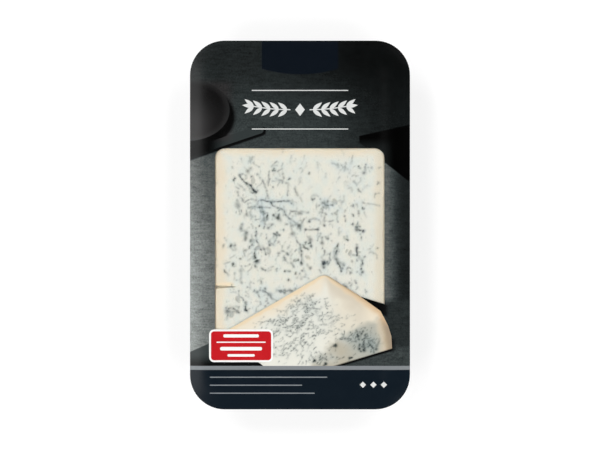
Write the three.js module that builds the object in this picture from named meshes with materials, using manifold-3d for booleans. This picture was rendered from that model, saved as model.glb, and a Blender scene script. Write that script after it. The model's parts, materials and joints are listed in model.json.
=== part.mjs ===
// A sealed portion pack of blue goat cheese, lying on its back with the printed front up.
// Millimetres, +Z up, +Y towards the top of the front, origin under the middle of the pack.
// A dark formed tray holds one slab of cheese. A clear film is sealed to the tray's rim, and the
// printed layer on it leaves a window open over the slab.

import * as THREE from "three";
import { mergeVertices } from "three/addons/utils/BufferGeometryUtils.js";
import Module from "manifold-3d";

// Whole pack, seen from the front
const PACK_WIDTH = 105;
const PACK_LENGTH = 176;
const CORNER_RADIUS = 16.5;
const CORNER_STEPS = 8;
const LEAST_RADIUS = 1.5;

// Tray
const SHEET = 0.8;
const RIM_WIDTH = 9;
const RIM_TOP = 23.8;
const RIM_DROOP = 0.9;
const MOUTH_RADIUS = 1.2;
const WALL_DRAFT = 1.3;
const FLOOR_RADIUS = 4;
const FOOT_WIDTH = 7;
const PANEL_RISE = 1;
const PANEL_SLOPE = 1.5;
const BEND_STEPS = 4;
const RIM_STEPS = 5;

// Lid: two thin layers that follow the drooping rim and sag a little over the cavity
const FILM = 0.2;
const LAYER_GAP = 0.15;
const LID_SAG = 0.3;
const SAG_WIDTH = 6.5;
const SAG_STEPS = 4;

// Window in the printed layer: straight sides, round upper corners, and a lower edge that
// follows the top of a printed wedge
const WINDOW_HALF_WIDTH = 40.3;
const WINDOW_TOP = 36.6;
const WINDOW_CORNER = 4.8;
const WINDOW_RIGHT_END = -37.8;
const WEDGE_FOOT = new THREE.Vector2(-34.4, -50.1);
const WEDGE_APEX = new THREE.Vector2(11.8, -23.2);
const WEDGE_SHOULDER = new THREE.Vector2(28.9, -34.2);
const APEX_ROUNDING = 3.3;

// Slab of cheese
const SLAB_WIDTH = 82.4;
const SLAB_LENGTH = 113;
const SLAB_MIDDLE_Y = -17.6;
const SLAB_BOTTOM = 2;
const SLAB_TOP = 22.9;
const SLAB_CORNER = 3.2;
const SLAB_EDGE = 1.3;
const SLAB_BULGE = 0.3;
const SLAB_TUCK = 1.5;
const SLAB_CELL = 2.9;
const EDGE_LINES = [0, 0.17, 0.55];

// Gash in the slab's left side and open pits along its veins
const GASH_Y = -29.6;
const GASH_LENGTH = 11;
const GASH_WIDTH = 1.1;
const GASH_DEPTH = 1.4;
const PIT_SEED = 40961;
const DRAW_FACTOR = 16807;
const DRAW_MODULUS = 2147483647;
const PITS_PER_PATCH = 3;
const PIT_RADIUS = [0.6, 1.2];
const PIT_STRETCH = 1.7;
const PIT_PATCHES = [
  { x: -24, y: 18.5, reach: 4.5 },
  { x: -13, y: 7, reach: 6 },
  { x: 14, y: 11, reach: 4 },
  { x: -20, y: -9, reach: 5.5 },
  { x: 4, y: -15, reach: 5.5 },
  { x: 24, y: -16.5, reach: 6 },
  { x: -30, y: -39, reach: 4.5 },
];

const wasm = await Module();
wasm.setup();

// A closed geometry as a solid that can be cut.
function toSolid(geometry) {
  const bare = new THREE.BufferGeometry();
  bare.setAttribute("position", geometry.getAttribute("position").clone());
  if (geometry.index) bare.setIndex(geometry.index.clone());
  const merged = mergeVertices(bare, 1e-4);
  const mesh = new wasm.Mesh({
    numProp: 3,
    vertProperties: new Float32Array(merged.getAttribute("position").array),
    triVerts: new Uint32Array(merged.index.array),
  });
  return new wasm.Manifold(mesh);
}

// A cut solid as a geometry again.
function toGeometry(solid) {
  const { vertProperties, triVerts } = solid.getMesh();
  const geometry = new THREE.BufferGeometry();
  geometry.setAttribute("position", new THREE.BufferAttribute(new Float32Array(vertProperties), 3));
  geometry.setIndex(new THREE.BufferAttribute(new Uint32Array(triVerts), 1));
  geometry.computeVertexNormals();
  return geometry;
}

// A seeded draw between 0 and 1, with products small enough to stay exact.
function seededDraw(seed) {
  let state = seed;
  return () => {
    state = (state * DRAW_FACTOR) % DRAW_MODULUS;
    return state / DRAW_MODULUS;
  };
}

// The pack's rounded outline, moved in by inset and lifted to height, counter-clockwise from above.
function outlineRing(inset, height) {
  const radius = Math.max(CORNER_RADIUS - inset, LEAST_RADIUS);
  const centreX = PACK_WIDTH / 2 - inset - radius;
  const centreY = PACK_LENGTH / 2 - inset - radius;
  const ring = [];
  for (let corner = 0; corner < 4; corner++) {
    const sideX = corner === 0 || corner === 3 ? 1 : -1;
    const sideY = corner < 2 ? 1 : -1;
    for (let step = 0; step <= CORNER_STEPS; step++) {
      const angle = ((corner + step / CORNER_STEPS) * Math.PI) / 2;
      const x = sideX * centreX + radius * Math.cos(angle);
      const y = sideY * centreY + radius * Math.sin(angle);
      ring.push(new THREE.Vector3(x, y, height));
    }
  }
  return ring;
}

// A closed body through rings with equal counts of points. The first ring is closed by a cap that
// faces down and the last by one that faces up.
function loftGeometry(rings) {
  const count = rings[0].length;
  const points = rings.flat();
  const triangles = [];
  for (let level = 0; level + 1 < rings.length; level++) {
    for (let i = 0; i < count; i++) {
      const next = (i + 1) % count;
      const low = level * count;
      const high = low + count;
      triangles.push(low + i, low + next, high + next, low + i, high + next, high + i);
    }
  }
  const centreOf = (ring) =>
    ring.reduce((sum, point) => sum.add(point), new THREE.Vector3()).divideScalar(count);
  const bottom = points.push(centreOf(rings[0])) - 1;
  const top = points.push(centreOf(rings.at(-1))) - 1;
  const lastRing = (rings.length - 1) * count;
  for (let i = 0; i < count; i++) {
    const next = (i + 1) % count;
    triangles.push(bottom, next, i, top, lastRing + i, lastRing + next);
  }
  const geometry = new THREE.BufferGeometry().setFromPoints(points);
  geometry.setIndex(triangles);
  geometry.computeVertexNormals();
  return geometry;
}

// Height of the rim's upper face at a distance in from the outer edge: the rim rolls down outwards.
function rimHeight(inset) {
  const outward = Math.max(1 - inset / RIM_WIDTH, 0);
  return RIM_TOP - RIM_DROOP * outward ** 2;
}

// Height of the lid's lowest face above the same place: it leaves the rim and sags to a flat middle.
function lidHeight(inset) {
  const inward = THREE.MathUtils.clamp((inset - RIM_WIDTH) / SAG_WIDTH, 0, 1);
  return rimHeight(inset) + LAYER_GAP - LID_SAG * THREE.MathUtils.smoothstep(inward, 0, 1);
}

const rimInsets = Array.from({ length: RIM_STEPS + 1 }, (_, i) => (RIM_WIDTH * i) / RIM_STEPS);
const sagInsets = Array.from({ length: SAG_STEPS }, (_, i) => {
  return RIM_WIDTH + (SAG_WIDTH * (i + 1)) / SAG_STEPS;
});

// Points of a quarter round from one angle to another, as [inset, height] pairs.
function bend(centreInset, centreHeight, radius, fromAngle, toAngle) {
  return Array.from({ length: BEND_STEPS + 1 }, (_, i) => {
    const angle = THREE.MathUtils.degToRad(fromAngle + ((toAngle - fromAngle) * i) / BEND_STEPS);
    return [centreInset + radius * Math.cos(angle), centreHeight + radius * Math.sin(angle)];
  });
}

// Tray: one formed sheet with a raised floor panel, a flat foot round it, leaning walls and the rim.
function trayGeometry() {
  const wallAtFloor = RIM_WIDTH + WALL_DRAFT;
  const bendInset = wallAtFloor + FLOOR_RADIUS;
  const bendHeight = SHEET + FLOOR_RADIUS;
  const panelEdge = bendInset + FOOT_WIDTH;
  const mouthInset = RIM_WIDTH - MOUTH_RADIUS;
  const mouthHeight = RIM_TOP - MOUTH_RADIUS;
  const underRim = (inset) => [inset, rimHeight(inset) - SHEET];
  const underside = [
    [panelEdge + PANEL_SLOPE, PANEL_RISE],
    [panelEdge, 0],
    ...bend(bendInset, bendHeight, FLOOR_RADIUS + SHEET, 270, 180),
    ...bend(mouthInset, mouthHeight, MOUTH_RADIUS - SHEET, 0, 90),
    ...rimInsets.filter((inset) => inset < mouthInset).reverse().map(underRim),
  ];
  const upperSide = [
    ...rimInsets.filter((inset) => inset < mouthInset).map((inset) => [inset, rimHeight(inset)]),
    ...bend(mouthInset, mouthHeight, MOUTH_RADIUS, 90, 0),
    ...bend(bendInset, bendHeight, FLOOR_RADIUS, 180, 270),
    [panelEdge, SHEET],
    [panelEdge + PANEL_SLOPE, PANEL_RISE + SHEET],
  ];
  return loftGeometry([...underside, ...upperSide].map(([inset, height]) => outlineRing(inset, height)));
}

// One layer of the lid, its lower face raised by lift over the lid's lowest face.
function lidGeometry(lift) {
  const insets = [...rimInsets, ...sagInsets];
  const lower = insets.toReversed().map((inset) => outlineRing(inset, lidHeight(inset) + lift));
  const upper = insets.map((inset) => outlineRing(inset, lidHeight(inset) + lift + FILM));
  return loftGeometry([...lower, ...upper]);
}

// A prism of the window's outline that cuts right through the lid.
function windowCutter() {
  const alongSlope = (towards) =>
    WEDGE_APEX.clone().add(towards.clone().sub(WEDGE_APEX).setLength(APEX_ROUNDING));
  const beforeApex = alongSlope(WEDGE_FOOT);
  const afterApex = alongSlope(WEDGE_SHOULDER);
  const outline = new THREE.Shape();
  outline.moveTo(-WINDOW_HALF_WIDTH, WEDGE_FOOT.y);
  outline.lineTo(WEDGE_FOOT.x, WEDGE_FOOT.y);
  outline.lineTo(beforeApex.x, beforeApex.y);
  outline.quadraticCurveTo(WEDGE_APEX.x, WEDGE_APEX.y, afterApex.x, afterApex.y);
  outline.lineTo(WEDGE_SHOULDER.x, WEDGE_SHOULDER.y);
  outline.lineTo(WINDOW_HALF_WIDTH, WINDOW_RIGHT_END);
  const cornerX = WINDOW_HALF_WIDTH - WINDOW_CORNER;
  const cornerY = WINDOW_TOP - WINDOW_CORNER;
  outline.absarc(cornerX, cornerY, WINDOW_CORNER, 0, Math.PI / 2);
  outline.absarc(-cornerX, cornerY, WINDOW_CORNER, Math.PI / 2, Math.PI);
  const depth = 2 * RIM_TOP;
  return new THREE.ExtrudeGeometry(outline, { depth, bevelEnabled: false, curveSegments: CORNER_STEPS });
}

function printGeometry() {
  const layer = toSolid(lidGeometry(FILM + LAYER_GAP));
  return toGeometry(layer.subtract(toSolid(windowCutter())));
}

// Grid lines across the slab: close together at the edges, even between them.
function slabLines(size) {
  const first = EDGE_LINES.map((line) => line - size / 2);
  const span = size - 2 * SLAB_EDGE;
  const cells = Math.round(span / SLAB_CELL);
  const between = Array.from({ length: cells + 1 }, (_, i) => (span * i) / cells - span / 2);
  return [...first, ...between, ...first.toReversed().map((line) => -line)];
}

// Gentle unevenness of the cut paste.
function pasteWave(x, y) {
  const broad = 0.16 * Math.sin(0.21 * x + 0.13 * y + 0.4);
  const cross = 0.12 * Math.sin(0.37 * y - 0.18 * x + 1.9);
  const fine = 0.07 * Math.sin(0.63 * x + 0.2) * Math.sin(0.55 * y + 1.1);
  return broad + cross + fine;
}

// Height of the slab's top above the tray at a place given from the slab's middle.
function slabHeight(x, y) {
  const inX = SLAB_WIDTH / 2 - Math.abs(x);
  const inY = SLAB_LENGTH / 2 - Math.abs(y);
  const inward = Math.min(inX, inY, SLAB_EDGE);
  const drop = SLAB_EDGE - Math.sqrt(SLAB_EDGE ** 2 - (SLAB_EDGE - inward) ** 2);
  return SLAB_TOP - drop + (pasteWave(x, y) * inward) / SLAB_EDGE;
}

// Pulls a place near a corner of the slab onto the corner's round.
function roundCorner(x, y) {
  const beyondX = Math.abs(x) - (SLAB_WIDTH / 2 - SLAB_CORNER);
  const beyondY = Math.abs(y) - (SLAB_LENGTH / 2 - SLAB_CORNER);
  if (beyondX <= 0 || beyondY <= 0) return [x, y];
  const pull = Math.max(beyondX, beyondY) / Math.hypot(beyondX, beyondY);
  return [x + Math.sign(x) * beyondX * (pull - 1), y + Math.sign(y) * beyondY * (pull - 1)];
}

// The slab's edge ring with each side moved out by swell, set at a height.
function slabRing(edge, swell, height) {
  return edge.map((point) => {
    const beyondX = Math.max(Math.abs(point.x) - (SLAB_WIDTH / 2 - SLAB_CORNER), 0);
    const beyondY = Math.max(Math.abs(point.y) - (SLAB_LENGTH / 2 - SLAB_CORNER), 0);
    const outward = new THREE.Vector3(Math.sign(point.x) * beyondX, Math.sign(point.y) * beyondY, 0);
    return outward.setLength(swell).add(point).setZ(height);
  });
}

// Slab before cutting: an uneven top with rounded edges, bulging sides and a tucked flat bottom.
function slabGeometry() {
  const linesX = slabLines(SLAB_WIDTH);
  const linesY = slabLines(SLAB_LENGTH);
  const columns = linesX.length;
  const rows = linesY.length;
  const points = [];
  const triangles = [];
  for (const y of linesY) {
    for (const x of linesX) points.push(new THREE.Vector3(...roundCorner(x, y), slabHeight(x, y)));
  }
  const at = (column, row) => row * columns + column;
  for (let row = 0; row + 1 < rows; row++) {
    for (let column = 0; column + 1 < columns; column++) {
      const [a, b] = [at(column, row), at(column + 1, row)];
      const [c, d] = [at(column + 1, row + 1), at(column, row + 1)];
      triangles.push(a, b, c, a, c, d);
    }
  }

  const border = [];
  for (let column = 0; column + 1 < columns; column++) border.push(at(column, 0));
  for (let row = 0; row + 1 < rows; row++) border.push(at(columns - 1, row));
  for (let column = columns - 1; column > 0; column--) border.push(at(column, rows - 1));
  for (let row = rows - 1; row > 0; row--) border.push(at(0, row));
  const edge = border.map((index) => points[index]);
  const middleHeight = (SLAB_TOP + SLAB_BOTTOM) / 2;
  const lowerRings = [
    slabRing(edge, SLAB_BULGE, middleHeight),
    slabRing(edge, 0, SLAB_BOTTOM + SLAB_TUCK),
    slabRing(edge, -SLAB_TUCK, SLAB_BOTTOM),
  ];
  let upper = border;
  for (const ring of lowerRings) {
    const lower = ring.map((point) => points.push(point) - 1);
    for (let i = 0; i < border.length; i++) {
      const next = (i + 1) % border.length;
      triangles.push(lower[i], lower[next], upper[next], lower[i], upper[next], upper[i]);
    }
    upper = lower;
  }
  const middle = points.push(new THREE.Vector3(0, 0, SLAB_BOTTOM)) - 1;
  for (let i = 0; i < border.length; i++) triangles.push(middle, upper[(i + 1) % border.length], upper[i]);

  const geometry = new THREE.BufferGeometry().setFromPoints(points);
  geometry.setIndex(triangles);
  return geometry.translate(0, SLAB_MIDDLE_Y, 0);
}

// A thin wedge that opens the gash from the slab's left side inwards.
function gashCutter() {
  const left = -SLAB_WIDTH / 2 - SLAB_EDGE;
  const inner = -SLAB_WIDTH / 2 + GASH_LENGTH;
  const plan = new THREE.Shape();
  plan.moveTo(left, GASH_Y - GASH_WIDTH / 2);
  plan.lineTo(inner, GASH_Y);
  plan.lineTo(left, GASH_Y + GASH_WIDTH / 2);
  const geometry = new THREE.ExtrudeGeometry(plan, { depth: 2 * GASH_DEPTH, bevelEnabled: false });
  return geometry.translate(0, 0, SLAB_TOP - GASH_DEPTH);
}

// Small round-bottomed pits, drawn in patches where the veins are thickest.
function pitCutters() {
  const draw = seededDraw(PIT_SEED);
  const [least, most] = PIT_RADIUS;
  return PIT_PATCHES.flatMap((patch) =>
    Array.from({ length: PITS_PER_PATCH }, () => {
      const x = patch.x + patch.reach * (2 * draw() - 1);
      const y = patch.y + patch.reach * (2 * draw() - 1);
      const radius = least + (most - least) * draw() ** 2;
      const height = slabHeight(x, y - SLAB_MIDDLE_Y) + radius / 4;
      const pit = new THREE.IcosahedronGeometry(radius, 1);
      return pit.scale(1, PIT_STRETCH, 1).rotateZ(draw() * Math.PI).translate(x, y, height);
    }),
  );
}

function cheeseGeometry() {
  const cutters = [gashCutter(), ...pitCutters()];
  const slab = cutters.reduce((solid, cutter) => solid.subtract(toSolid(cutter)), toSolid(slabGeometry()));
  return toGeometry(slab);
}

function namedMesh(name, geometry, look) {
  const mesh = new THREE.Mesh(geometry, new THREE.MeshStandardMaterial({ metalness: 0, ...look }));
  mesh.name = name;
  return mesh;
}

const TRAY_LOOK = { color: 0x17191a, roughness: 0.45 };
const CHEESE_LOOK = { color: 0xeae3d2, roughness: 0.6 };
const FILM_LOOK = { color: 0xf4f7f8, roughness: 0.1, transparent: true, opacity: 0.15 };
const PRINT_LOOK = { color: 0x2c3233, roughness: 0.4 };

const pack = new THREE.Group();
pack.add(
  namedMesh("tray", trayGeometry(), TRAY_LOOK),
  namedMesh("cheese", cheeseGeometry(), CHEESE_LOOK),
  namedMesh("clear_film", lidGeometry(0), FILM_LOOK),
  namedMesh("print_layer", printGeometry(), PRINT_LOOK),
);

export default pack;
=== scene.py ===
"""Looks of a sealed portion pack of blue goat cheese, lying on its back with the printed front up.

A dark formed tray holds one slab of cheese. A clear film closes the tray, and the printed layer on
the film leaves a window open over the slab. Sizes are in millimetres, +Y towards the top of the
front, and become metres where they meet a mesh.
"""

import json
import logging
import math
from collections.abc import Sequence
from dataclasses import dataclass
from enum import Enum
from itertools import pairwise

import bmesh
import bpy
import numpy as np
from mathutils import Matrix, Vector

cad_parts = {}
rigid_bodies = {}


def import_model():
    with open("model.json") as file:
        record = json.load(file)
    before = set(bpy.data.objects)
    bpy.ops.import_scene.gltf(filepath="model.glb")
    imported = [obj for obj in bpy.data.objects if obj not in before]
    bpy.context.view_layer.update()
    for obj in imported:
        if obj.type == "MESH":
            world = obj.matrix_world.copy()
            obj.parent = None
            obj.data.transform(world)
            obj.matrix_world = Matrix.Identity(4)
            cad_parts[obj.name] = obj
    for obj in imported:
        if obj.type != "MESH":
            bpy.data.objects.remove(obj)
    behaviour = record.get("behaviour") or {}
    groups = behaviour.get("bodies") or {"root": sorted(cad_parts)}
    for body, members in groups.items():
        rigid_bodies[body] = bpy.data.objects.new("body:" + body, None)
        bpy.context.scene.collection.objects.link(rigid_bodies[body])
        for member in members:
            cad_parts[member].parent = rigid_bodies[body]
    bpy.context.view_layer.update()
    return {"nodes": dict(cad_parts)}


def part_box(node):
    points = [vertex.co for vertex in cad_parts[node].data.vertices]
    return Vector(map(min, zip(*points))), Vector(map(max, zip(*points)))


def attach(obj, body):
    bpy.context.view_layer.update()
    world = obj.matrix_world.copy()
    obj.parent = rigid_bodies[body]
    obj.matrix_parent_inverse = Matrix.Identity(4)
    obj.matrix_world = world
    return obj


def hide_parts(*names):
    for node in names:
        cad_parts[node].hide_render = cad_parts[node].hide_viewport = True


LOG = logging.getLogger("pack")
MM = 0.001
BODY = "root"

Point = tuple[float, float]
Colour = tuple[float, float, float, float]


def srgb(red: float, green: float, blue: float) -> Colour:
    """Turns a colour of 0 to 255 steps on screen into linear light.

    Args:
        red: Red step.
        green: Green step.
        blue: Blue step.

    Returns:
        The linear colour with full cover.
    """

    def linear(step: float) -> float:
        """One channel in linear light."""
        part = step / 255.0
        return part / 12.92 if part <= 0.04045 else ((part + 0.055) / 1.055) ** 2.4

    return (linear(red), linear(green), linear(blue), 1.0)


class Domain(Enum):
    """The kind of element that a selection picks."""

    VERTEX = "VERT"
    EDGE = "EDGE"
    FACE = "FACE"


class Cut(Enum):
    """The ways in which one solid trims another."""

    REMOVE = "DIFFERENCE"
    KEEP = "INTERSECT"


class Bench:
    """Modelling steps with Blender's operators, on one piece at a time."""

    @staticmethod
    def clear() -> None:
        """Leaves edit mode and deselects everything."""
        if bpy.context.mode != "OBJECT":
            bpy.ops.object.mode_set(mode="OBJECT")
        bpy.ops.object.select_all(action="DESELECT")

    @staticmethod
    def hold(piece: bpy.types.Object) -> None:
        """Selects one piece alone, in object mode.

        Args:
            piece: The piece to select.
        """
        Bench.clear()
        piece.select_set(True)
        bpy.context.view_layer.objects.active = piece

    @staticmethod
    def edit(piece: bpy.types.Object, domain: Domain = Domain.FACE) -> None:
        """Opens a piece in edit mode with all of it selected.

        Args:
            piece: The piece to open.
            domain: What is selected: corners, edges or faces.
        """
        Bench.hold(piece)
        bpy.ops.object.mode_set(mode="EDIT")
        bpy.ops.mesh.select_mode(type=domain.value)
        bpy.ops.mesh.select_all(action="SELECT")

    @staticmethod
    def named(name: str) -> bpy.types.Object:
        """Names the primitive that was just added.

        Args:
            name: Its name, for the object and its mesh.

        Returns:
            The primitive.
        """
        piece = bpy.context.active_object
        piece.name = name
        piece.data.name = name
        return piece

    @staticmethod
    def rounded_plate(
        name: str, width: float, length: float, height: float, corner: float, steps: int
    ) -> bpy.types.Object:
        """Adds a flat plate with round corners and opens it in edit mode.

        Args:
            name: The piece's name.
            width: Size along X.
            length: Size along Y.
            height: Height of the plate.
            corner: Radius of the corners.
            steps: Segments of each corner.

        Returns:
            The plate, one face, selected in edit mode.
        """
        Bench.clear()
        bpy.ops.mesh.primitive_plane_add(size=1.0)
        piece = Bench.named(name)
        Bench.edit(piece, Domain.VERTEX)
        bpy.ops.transform.resize(value=(width * MM, length * MM, 1.0))
        bpy.ops.transform.translate(value=(0.0, 0.0, height * MM))
        bpy.ops.mesh.bevel(offset=corner * MM, segments=steps, affect="VERTICES")
        bpy.ops.mesh.select_mode(type=Domain.FACE.value)
        bpy.ops.mesh.select_all(action="SELECT")
        return piece

    @staticmethod
    def grid(name: str, low: Point, high: Point, cell: float) -> bpy.types.Object:
        """Adds a flat grid over a rectangle and opens it in edit mode.

        Args:
            name: The piece's name.
            low: Lowest corner.
            high: Highest corner.
            cell: Wanted size of a cell.

        Returns:
            The grid, selected in edit mode.
        """
        Bench.clear()
        width, length = high[0] - low[0], high[1] - low[1]
        bpy.ops.mesh.primitive_grid_add(
            x_subdivisions=round(width / cell), y_subdivisions=round(length / cell), size=1.0
        )
        piece = Bench.named(name)
        Bench.edit(piece)
        bpy.ops.transform.resize(value=(width * MM, length * MM, 1.0))
        middle = ((low[0] + high[0]) / 2 * MM, (low[1] + high[1]) / 2 * MM, 0.0)
        bpy.ops.transform.translate(value=middle)
        return piece

    @staticmethod
    def prism(
        name: str, outlines: Sequence[Sequence[Point]], low: float, high: float
    ) -> bpy.types.Object:
        """Raises one or more outlines into upright prisms in one piece.

        Args:
            name: The piece's name.
            outlines: Corners of each outline, counter-clockwise.
            low: Height of the bottom.
            high: Height of the top.

        Returns:
            The prisms as one object, in object mode.
        """
        made = []
        for outline in outlines:
            Bench.clear()
            bpy.ops.mesh.primitive_circle_add(vertices=len(outline), fill_type="NGON")
            disc = Bench.named(name)
            for vertex, (x, y) in zip(disc.data.vertices, outline):
                vertex.co = (x * MM, y * MM, low * MM)
            Bench.edit(disc)
            lift = {"value": (0.0, 0.0, (high - low) * MM)}
            bpy.ops.mesh.extrude_region_move(TRANSFORM_OT_translate=lift)
            bpy.ops.mesh.select_all(action="SELECT")
            bpy.ops.mesh.normals_make_consistent(inside=False)
            bpy.ops.object.mode_set(mode="OBJECT")
            made.append(disc)
        Bench.hold(made[0])
        for disc in made[1:]:
            disc.select_set(True)
        if len(made) > 1:
            bpy.ops.object.join()
        return made[0]

    @staticmethod
    def modifier(piece: bpy.types.Object, kind: str, **settings: object) -> None:
        """Adds a modifier with its settings and applies it.

        Args:
            piece: The piece to change.
            kind: Blender's name of the modifier.
            **settings: The modifier's own values.
        """
        Bench.hold(piece)
        made = piece.modifiers.new(kind.title(), kind)
        for key, value in settings.items():
            setattr(made, key, value)
        bpy.ops.object.modifier_apply(modifier=made.name)

    @staticmethod
    def trim(piece: bpy.types.Object, cutter: bpy.types.Object, cut: Cut) -> None:
        """Trims a piece with a cutter, which is then removed.

        Args:
            piece: The piece to trim.
            cutter: The closed solid that trims it.
            cut: Whether the shared part is removed or kept.
        """
        settings = {"object": cutter, "operation": cut.value, "solver": "EXACT", "use_self": True}
        Bench.modifier(piece, "BOOLEAN", **settings)
        bpy.data.objects.remove(cutter)

    @staticmethod
    def places(piece: bpy.types.Object) -> np.ndarray:
        """Reads a piece's corners in millimetres, one row each.

        Args:
            piece: The piece to read.

        Returns:
            X, Y and Z of each corner.
        """
        found = np.empty(len(piece.data.vertices) * 3)
        piece.data.vertices.foreach_get("co", found)
        return found.reshape(-1, 3) / MM

    @staticmethod
    def move(piece: bpy.types.Object, places: np.ndarray) -> None:
        """Moves a piece's corners to places in millimetres."""
        piece.data.vertices.foreach_set("co", (places * MM).ravel())
        piece.data.update()

    @staticmethod
    def mark(piece: bpy.types.Object, name: str, amounts: np.ndarray) -> None:
        """Stores one number for each corner, which a finish can read by its name."""
        layer = piece.data.attributes.new(name, "FLOAT", "POINT")
        layer.data.foreach_set("value", amounts.astype(np.float32))

    @staticmethod
    def finish(piece: bpy.types.Object, slot: str, smooth: float = 30.0) -> bpy.types.Object:
        """Smooths a piece and lets it ride with the pack.

        Args:
            piece: The finished mesh.
            slot: The record's material slot; not used.
            smooth: Largest angle that is smoothed, in degrees.

        Returns:
            The same piece.
        """
        Bench.hold(piece)
        bpy.ops.object.shade_smooth_by_angle(angle=math.radians(smooth))
        Bench.clear()
        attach(piece, BODY)
        LOG.info("%s: %d faces", piece.name, len(piece.data.polygons))
        return piece


def arc(centre: Point, radius: float, start: float, end: float, steps: int) -> list[Point]:
    """Points of a round stretch.

    Args:
        centre: Middle of the round.
        radius: Its radius.
        start: First angle in degrees.
        end: Last angle in degrees.
        steps: Segments.

    Returns:
        The points from the first angle to the last.
    """
    angles = np.radians(np.linspace(start, end, steps + 1))
    return [(centre[0] + radius * math.cos(a), centre[1] + radius * math.sin(a)) for a in angles]


def rounded_box(
    centre: Point, width: float, height: float, corner: float, steps: int = 6
) -> list[Point]:
    """Corners of a rectangle with round corners, counter-clockwise.

    Args:
        centre: Its middle.
        width: Size along X.
        height: Size along Y.
        corner: Radius of the corners.
        steps: Segments of each corner.

    Returns:
        The outline's points.
    """
    dx, dy = width / 2 - corner, height / 2 - corner
    signs = [(1, 1), (-1, 1), (-1, -1), (1, -1)]
    outline = []
    for turn, (sx, sy) in enumerate(signs):
        middle = (centre[0] + sx * dx, centre[1] + sy * dy)
        outline += arc(middle, corner, 90.0 * turn, 90.0 * (turn + 1), steps)
    return outline


def lozenge_outline(centre: Point, half_width: float, half_height: float) -> list[Point]:
    """Corners of a lozenge, counter-clockwise.

    Args:
        centre: Its middle.
        half_width: Reach along X.
        half_height: Reach along Y.

    Returns:
        The four corners.
    """
    x, y = centre
    return [(x + half_width, y), (x, y + half_height), (x - half_width, y), (x, y - half_height)]


def lattice(places: np.ndarray, cell: float, seed: int) -> np.ndarray:
    """Smooth seeded unevenness between -1 and 1.

    Args:
        places: Rows that start with X and Y in millimetres.
        cell: Size of one bump.
        seed: Seed of the draw.

    Returns:
        One number for each row.
    """
    spot = places[:, :2] / cell
    spot = spot - spot.min(axis=0)
    whole = np.floor(spot).astype(int)
    part = spot - whole
    part = part * part * (3.0 - 2.0 * part)
    size = whole.max(axis=0) + 2
    knots = np.random.default_rng(seed).uniform(-1.0, 1.0, size)
    column, row = whole[:, 0], whole[:, 1]
    low = knots[column, row] * (1 - part[:, 0]) + knots[column + 1, row] * part[:, 0]
    high = knots[column, row + 1] * (1 - part[:, 0]) + knots[column + 1, row + 1] * part[:, 0]
    return low * (1 - part[:, 1]) + high * part[:, 1]


class Val:
    """A number socket that takes part in Python expressions, each of which adds Math nodes."""

    def __init__(self, finish: "Finish", socket: bpy.types.NodeSocket) -> None:
        """Wraps a socket of a finish's node tree."""
        self.finish = finish
        self.socket = socket

    def __add__(self, other: "Val | float") -> "Val":
        """Sum."""
        return self.finish.math("ADD", self, other)

    def __radd__(self, other: float) -> "Val":
        """Sum with a plain number first."""
        return self.finish.math("ADD", other, self)

    def __sub__(self, other: "Val | float") -> "Val":
        """Difference."""
        return self.finish.math("SUBTRACT", self, other)

    def __rsub__(self, other: float) -> "Val":
        """Difference with a plain number first."""
        return self.finish.math("SUBTRACT", other, self)

    def __mul__(self, other: "Val | float") -> "Val":
        """Product."""
        return self.finish.math("MULTIPLY", self, other)

    def __rmul__(self, other: float) -> "Val":
        """Product with a plain number first."""
        return self.finish.math("MULTIPLY", other, self)

    def __truediv__(self, other: "Val | float") -> "Val":
        """Quotient."""
        return self.finish.math("DIVIDE", self, other)

    def __rtruediv__(self, other: float) -> "Val":
        """Quotient with a plain number first."""
        return self.finish.math("DIVIDE", other, self)

    def __neg__(self) -> "Val":
        """The number with its sign turned."""
        return self.finish.math("MULTIPLY", self, -1.0)

    def __abs__(self) -> "Val":
        """The number without its sign."""
        return self.finish.math("ABSOLUTE", self)

    def most(self, other: "Val | float") -> "Val":
        """The larger of two."""
        return self.finish.math("MAXIMUM", self, other)

    def least(self, other: "Val | float") -> "Val":
        """The smaller of two."""
        return self.finish.math("MINIMUM", self, other)

    def exp(self) -> "Val":
        """The exponential."""
        return self.finish.math("EXPONENT", self)

    def root(self) -> "Val":
        """The square root."""
        return self.finish.math("SQRT", self)


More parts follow.
